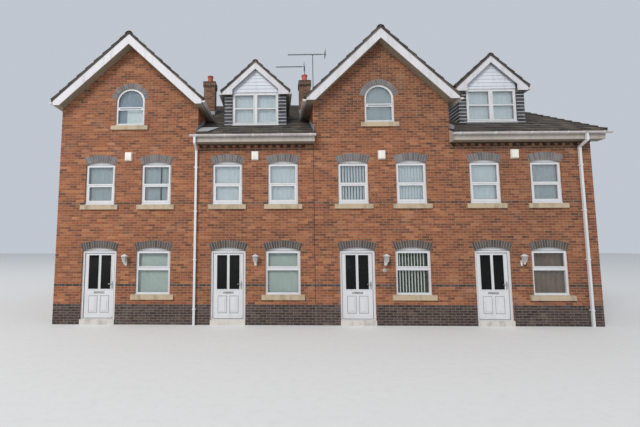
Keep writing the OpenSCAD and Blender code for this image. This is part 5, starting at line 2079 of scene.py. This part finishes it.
@dataclass(frozen=True)
class Doors:
    """The mouldings of the front doors, and dark strips that paint the shadow in the grooves round their
    panels.

    Attributes:
        face: How far into the building a leaf's front lies.
        pane_offset: How far a pane's middle lies from the leaf's.
        pane: Bottom and top of a pane's moulding.
        panel_offset: How far a panel's middle lies from the leaf's.
        panel: Bottom and top of a panel's moulding.
        raised: Bottom and top of a panel's raised field.
        rail: Bottom and top of the weather bar.
    """

    face: float = 0.071
    pane_offset: float = 0.1875
    pane: tuple[float, float] = (1.013, 2.072)
    panel_offset: float = 0.175
    panel: tuple[float, float] = (0.347, 0.833)
    raised: tuple[float, float] = (0.402, 0.778)
    rail: tuple[float, float] = (0.185, 0.225)

    def mouldings(self, middle: float) -> Piece:
        """Models the mouldings of a leaf.

        Args:
            middle: Middle of the leaf.

        Returns:
            The piece.
        """
        parts = []
        for side in (-1, 1):
            x = middle + side * self.pane_offset
            parts.append(casing(x - 0.175, x + 0.175, *self.pane, 0.024, self.face - 0.009, 0.012, 0.004))
            x = middle + side * self.panel_offset
            parts.append(casing(x - 0.122, x + 0.122, *self.panel, 0.016, self.face - 0.006, 0.010, 0.004))
            low, high = self.raised
            raised = block((x - 0.072, self.face - 0.017, low), (x + 0.072, self.face - 0.007, high))
            parts.append(bevel(raised, 0.007, 2))
        low, high = self.rail
        rail = block((middle - 0.42, self.face - 0.028, low), (middle + 0.42, self.face, high))
        return join(parts + [bevel(rail, 0.008, 2)])

    def shadow_lines(self, middle: float) -> Piece:
        """Models dark strips that paint the shadow in the grooves round the panels of a leaf and in the gap
        round the leaf.

        Args:
            middle: Middle of the leaf.

        Returns:
            The piece.
        """
        parts = []
        for side in (-1, 1):
            x = middle + side * self.panel_offset
            for reach in (0.135, 0.086):
                parts.append(casing(x - reach, x + reach, 0.469 - reach, 0.711 + reach, 0.012,
                                    self.face - 0.002, 0.004))
        parts.append(casing(middle - 0.452, middle + 0.452, 0.19, 2.108, 0.010, self.face - 0.001, 0.003))
        return join(parts)

    def build(self) -> None:
        """Dresses the four leaves."""
        for house, centre in enumerate(CENTRES):
            middle, body = centre - DOOR_OFFSET, f"door_{house + 1}"
            place(self.mouldings(middle), f"{body}_mouldings", Finish.UPVC, "white_upvc", body)
            place(self.shadow_lines(middle), f"{body}_grooves", Finish.GROOVE, "white_upvc", body)


@dataclass(frozen=True)
class Lanterns:
    """The wall lanterns beside the doors, and the round cover under one of them.

    Attributes:
        height: Underside of their wall plates.
        reach: How far their middles stand out from the wall.
        glass: Bottom, top, lower radius and upper radius of the glass.
        turned: The same of each turned part, with the number of its sides, from the stem to the knob.
        vent_z: Height of the round cover under the third lantern.
    """

    height: float = 1.74
    reach: float = 0.14
    glass: tuple[float, float, float, float] = (0.12, 0.277, 0.052, 0.076)
    turned: tuple[tuple[float, float, float, float, int], ...] = (
        (0.04, 0.11, 0.016, 0.024, 16),
        (0.108, 0.12, 0.054, 0.060, 24),
        (0.276, 0.290, 0.104, 0.104, 24),
        (0.290, 0.335, 0.098, 0.030, 24),
        (0.333, 0.345, 0.030, 0.012, 16),
    )
    vent_z: float = 1.60

    def lantern(self) -> Piece:
        """Models one lantern about x = 0.

        Returns:
            The piece.
        """
        z, y = self.height, -self.reach
        parts = [bevel(block((-0.035, -0.014, z), (0.035, 0, z + 0.16)), 0.006, 2)]
        for wall_end, lamp_end in ((0.05, 0.075), (0.125, 0.085)):
            parts.append(rod(0.008, (0, -0.012, z + wall_end), (0, y, z + lamp_end), 12))
        for bottom, top, low, high, sides in self.turned:
            parts.append(rod(low, (0, y, z + bottom), (0, y, z + top), sides, high))
        rib = rod(0.004, (0.059, y, z + 0.115), (0.084, y, z + 0.280), 8)
        about = Matrix.Translation((0, y, 0))
        parts += copy_to(rib, [about @ Matrix.Rotation(math.radians(60 * k), 4, "Z") @ about.inverted()
                               for k in range(6)])
        return smooth(join(parts))

    def build(self) -> None:
        """Hangs the four lanterns."""
        spots = [Matrix.Translation((centre + 0.02, 0, 0)) for centre in CENTRES]
        place(join(copy_to(self.lantern(), spots)), "lanterns", Finish.LAMP, "lantern",
              stands_for=("wall_lanterns",))
        bottom, top, low, high = self.glass
        y, z = -self.reach, self.height
        glass = rod(low, (0, y, z + bottom), (0, y, z + top), 24, high)
        place(smooth(join(copy_to(glass, spots))), "lantern_glasses", Finish.LAMP_GLASS, "lantern")
        x = CENTRES[2] - 0.01
        cover = rod(0.062, (x, 0.001, self.vent_z), (x, -0.022, self.vent_z), 32, 0.054)
        place(smooth(bevel(cover, 0.004)), "vent_cover", Finish.LAMP_GLASS, "lantern")


@dataclass(frozen=True)
class Rainwater:
    """The brackets of the gutters and the clips of the downpipes.

    Attributes:
        gutter_z: Height of the main gutters' rims.
        radius: Outer radius of a gutter.
        front: Left and right end of each front gutter, which has five brackets.
        rear_first: Place of the first rear bracket, as seen from behind.
        rear_step: Step from it to each of the next.
        downpipes: Places of the downpipes.
        clips: Heights of their clips.
    """

    gutter_z: float = 5.645
    radius: float = 0.058
    front: tuple[tuple[float, float], ...] = ((EDGES[1] - 0.1, EDGES[2]), (EDGES[3], ROW + END_OUT))
    rear_first: float = -0.18
    rear_step: float = 0.965
    downpipes: tuple[float, float] = (4.265, 15.775)
    clips: tuple[float, ...] = (0.45, 1.9, 3.35, 4.7)

    def bracket(self) -> Piece:
        """Models a gutter bracket about x = 0, with y = 0 at the fascia and z = 0 at the rim."""
        piece = rod(self.radius + 0.006, (-0.02, -self.radius, 0), (0.02, -self.radius, 0), 24)
        return cut(piece, (0, 0, 0.004), (0, 0, 1))

    def build(self) -> None:
        """Fits brackets and clips."""
        at = Matrix.Translation((0, -FASCIA_OUT, self.gutter_z))
        spots = []
        for left, right in self.front:
            spots += [Matrix.Translation((left + 0.12 + k * (right - left - 0.24) / 4, 0, 0)) @ at
                      for k in range(5)]
        spots += [REAR @ Matrix.Translation((self.rear_first + k * self.rear_step, 0, 0)) @ at
                  for k in range(18)]
        brackets = copy_to(self.bracket(), spots)
        clips = [bevel(block((x - 0.05, -0.100, z), (x + 0.05, 0, z + 0.035)), 0.004)
                 for x in self.downpipes for z in self.clips]
        place(join(brackets + clips), "gutter_brackets_and_clips", Finish.UPVC, "white_upvc")


@dataclass(frozen=True)
class AlarmBoxes:
    """The alarm boxes between the first-floor windows.

    Attributes:
        width: Width of a box.
        height: Height of a box.
        bottom: Underside of a box.
        depth: How far a box stands out.
    """

    width: float = 0.23
    height: float = 0.29
    bottom: float = 4.93
    depth: float = 0.082

    def build(self) -> None:
        """Fits the four boxes."""
        half = self.width / 2
        top = self.bottom + self.height
        piece = block((-half, -self.depth, self.bottom), (half, 0, top))
        taper(piece, (0, -1, 0), (0.84, 1, 0.86), (0, 0, self.bottom + self.height / 2))
        piece = smooth(bevel(piece, 0.012, 3), 30)
        lens = bevel(block((-0.05, -0.090, self.bottom + 0.03), (0.05, -0.07, self.bottom + 0.055)), 0.004)
        spots = [Matrix.Translation((centre, 0, 0)) for centre in CENTRES]
        place(join(copy_to(join([piece, lens]), spots)), "alarm_covers", Finish.ALARM, "alarm_box",
              stands_for=("bell_boxes",))


@dataclass(frozen=True)
class Chimneys:
    """The mortar caps round the chimney pots.

    Attributes:
        height: Height of a cap.
        half: Half its width at its foot.
        narrowing: Its width at its top as a share of that.
    """

    height: float = 0.055
    half: float = 0.215
    narrowing: float = 0.62

    def build(self) -> None:
        """Fits the caps."""
        cap = block((-self.half, -self.half, 0), (self.half, self.half, self.height))
        bevel(taper(cap, (0, 0, 1), (self.narrowing, self.narrowing, 1), (0, 0, self.height)), 0.008, 2)
        spots = [Matrix.Translation((x, STACK_Y, STACK_TOP)) for x in STACKS]
        place(join(copy_to(cap, spots)), "flaunching", Finish.FLAUNCH, "concrete")


@dataclass(frozen=True)
class Aerials:
    """The insulators on the booms of the two aerials.

    Attributes:
        size: Size of an insulator.
        spacing: Step from rod to rod.
        booms: Place of each boom's first rod from the right stack, its height and the number of its rods.
    """

    size: float = 0.034
    spacing: float = 0.075
    booms: tuple[tuple[float, float, int], ...] = ((-1.146, 9.84, 15), (-0.641, 10.37, 19))

    def build(self) -> None:
        """Fits an insulator at every rod."""
        half = self.size / 2
        y = STACK_Y + STACK_HALF + 0.046
        insulators = []
        for first, z, count in self.booms:
            x = STACKS[1] + first
            piece = block((x - half, y - half, z - half), (x + half, y + half, z + half))
            insulators.append(repeat(bevel(piece, 0.005), count, (self.spacing, 0, 0)))
        place(join(insulators), "aerial_insulators", Finish.INSULATOR, "aerial_metal")


DOOR_LEAVES, DOOR_GLASSES, DOOR_FURNITURE = (
    tuple(f"door_{house + 1}_{part}" for house in HOUSES) for part in ("leaf", "glass", "furniture"))


class NodeFinishes:
    """The finishes of the solid frame's own nodes."""

    BY_NODE = {
        Finish.POINTING: ("front_wall_lower", "front_walls_gabled", "front_walls_eaved", "rear_wall_lower",
                          "rear_wall_upper"),
        Finish.BED: ("end_walls", "party_walls", "chimney_stacks"),
        Finish.ARCH_BED: ("brick_arches",),
        Finish.DENTIL: ("dentil_courses",),
        Finish.SLAB: ("ground_floor",),
        Finish.FLOOR: ("first_floor", "attic_floor"),
        Finish.STEP: ("thresholds",),
        Finish.SILL: ("window_sills",),
        Finish.UPVC: ("arch_panels", "ground_window_frames", "first_window_frames", "gable_window_frames",
                      "dormer_window_frames", "door_frames", *DOOR_LEAVES, "downpipes"),
        Finish.GUTTER: ("gutters",),
        Finish.PANE: ("window_glass", "roof_window_glass"),
        Finish.DOOR_PANE: DOOR_GLASSES,
        Finish.HANDLE: (*DOOR_FURNITURE, "door_hinges"),
        Finish.SARKING: ("main_roof_front", "main_roof_behind_gables", "main_roof_rear", "gable_roofs_left",
                         "gable_roofs_right", "dormer_roofs_left", "dormer_roofs_right"),
        Finish.RIDGE: ("ridge_tiles",),
        Finish.BOARD: ("bargeboards",),
        Finish.CREAM: ("fascias",),
        Finish.SOFFIT: ("soffits",),
        Finish.CHEEK: ("dormer_walls",),
        Finish.HUNG_BACK: ("dormer_tile_hanging",),
        Finish.SHIPLAP: ("dormer_shiplap",),
        Finish.LEAD: ("lead_flashings",),
        Finish.POT: ("chimney_pots",),
        Finish.AERIAL: ("tv_aerials",),
        Finish.ALARM: ("bell_boxes",),
        Finish.LAMP: ("wall_lanterns",),
    }

    def build(self) -> None:
        """Gives every node its finish."""
        for finish, names in self.BY_NODE.items():
            for name in names:
                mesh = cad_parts[name].data
                mesh.materials.clear()
                mesh.materials.append(finish.material())
                log.info("%s is finished in %s", name, finish.value.name)


@dataclass(frozen=True)
class Studio:
    """The pale floor, the soft light and the camera.

    Attributes:
        lens: Focal length of the camera.
        shift: Shift of the camera, sideways and up.
        stand: Where the camera stands.
        turn: How it is turned, in degrees.
        key_stand: Where the lamp stands.
        key_aim: What it looks at.
        key_size: Its width.
        key_power: Its power.
        key_colour: Its colour.
        sky: Colour of the light all round.
        sky_strength: Its strength.
        floor_size: Width of the floor.
    """

    lens: float = 20.774
    shift: tuple[float, float] = (0.0856, -0.00055)
    stand: Point = (-1.406, -16.968, 2.287)
    turn: Point = (95.26, 0.06, 1.50)
    key_stand: Point = (-36, -68, 54)
    key_aim: Point = (0, -4, 4)
    key_size: float = 36
    key_power: float = 52000
    key_colour: Point = (1.0, 0.97, 0.93)
    sky: Colour = (0.80, 0.86, 0.95, 1)
    sky_strength: float = 0.66
    floor_size: float = 240

    def camera(self) -> None:
        """Sets up the camera."""
        data = bpy.data.cameras.new("camera")
        data.lens = self.lens
        data.sensor_width = 36
        data.shift_x, data.shift_y = self.shift
        data.clip_end = 500
        camera = bpy.data.objects.new("camera", data)
        camera.location = self.stand
        camera.rotation_euler = [math.radians(angle) for angle in self.turn]
        bpy.context.scene.collection.objects.link(camera)
        bpy.context.scene.camera = camera

    def lamp(self) -> None:
        """Sets up the large soft lamp."""
        data = bpy.data.lights.new("key", "AREA")
        data.shape = "DISK"
        data.size = self.key_size
        data.energy = self.key_power
        data.color = self.key_colour
        light = bpy.data.objects.new("key", data)
        light.location = self.key_stand
        way = Vector(self.key_aim) - Vector(self.key_stand)
        light.rotation_euler = way.to_track_quat("-Z", "Y").to_euler()
        bpy.context.scene.collection.objects.link(light)

    def build(self) -> None:
        """Sets up everything round the row."""
        bpy.ops.mesh.primitive_plane_add(size=self.floor_size, location=(0, 0, 0))
        floor = bpy.context.object
        floor.name = "floor"
        floor.data.materials.append(Finish.PALE.material())
        self.lamp()
        world = bpy.data.worlds.new("studio")
        bpy.context.scene.world = world
        world.use_nodes = True
        background = world.node_tree.nodes["Background"]
        background.inputs["Color"].default_value = self.sky
        background.inputs["Strength"].default_value = self.sky_strength
        bpy.context.scene.view_settings.view_transform = "Standard"


def main() -> None:
    """Builds the dressed row, sub-assembly by sub-assembly."""
    logging.basicConfig(level=logging.INFO, format="%(name)s: %(message)s")
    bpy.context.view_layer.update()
    studio = Studio()
    studio.camera()
    for assembly in (NodeFinishes(), Brickwork(), Arches(), Roofs(), Dormers(), Windows(), Curtains(),
                     Doors(), Lanterns(), Rainwater(), AlarmBoxes(), Chimneys(), Aerials(), studio):
        assembly.build()
        log.info("%s is done", type(assembly).__name__)


if __name__ == "__main__":
    main()
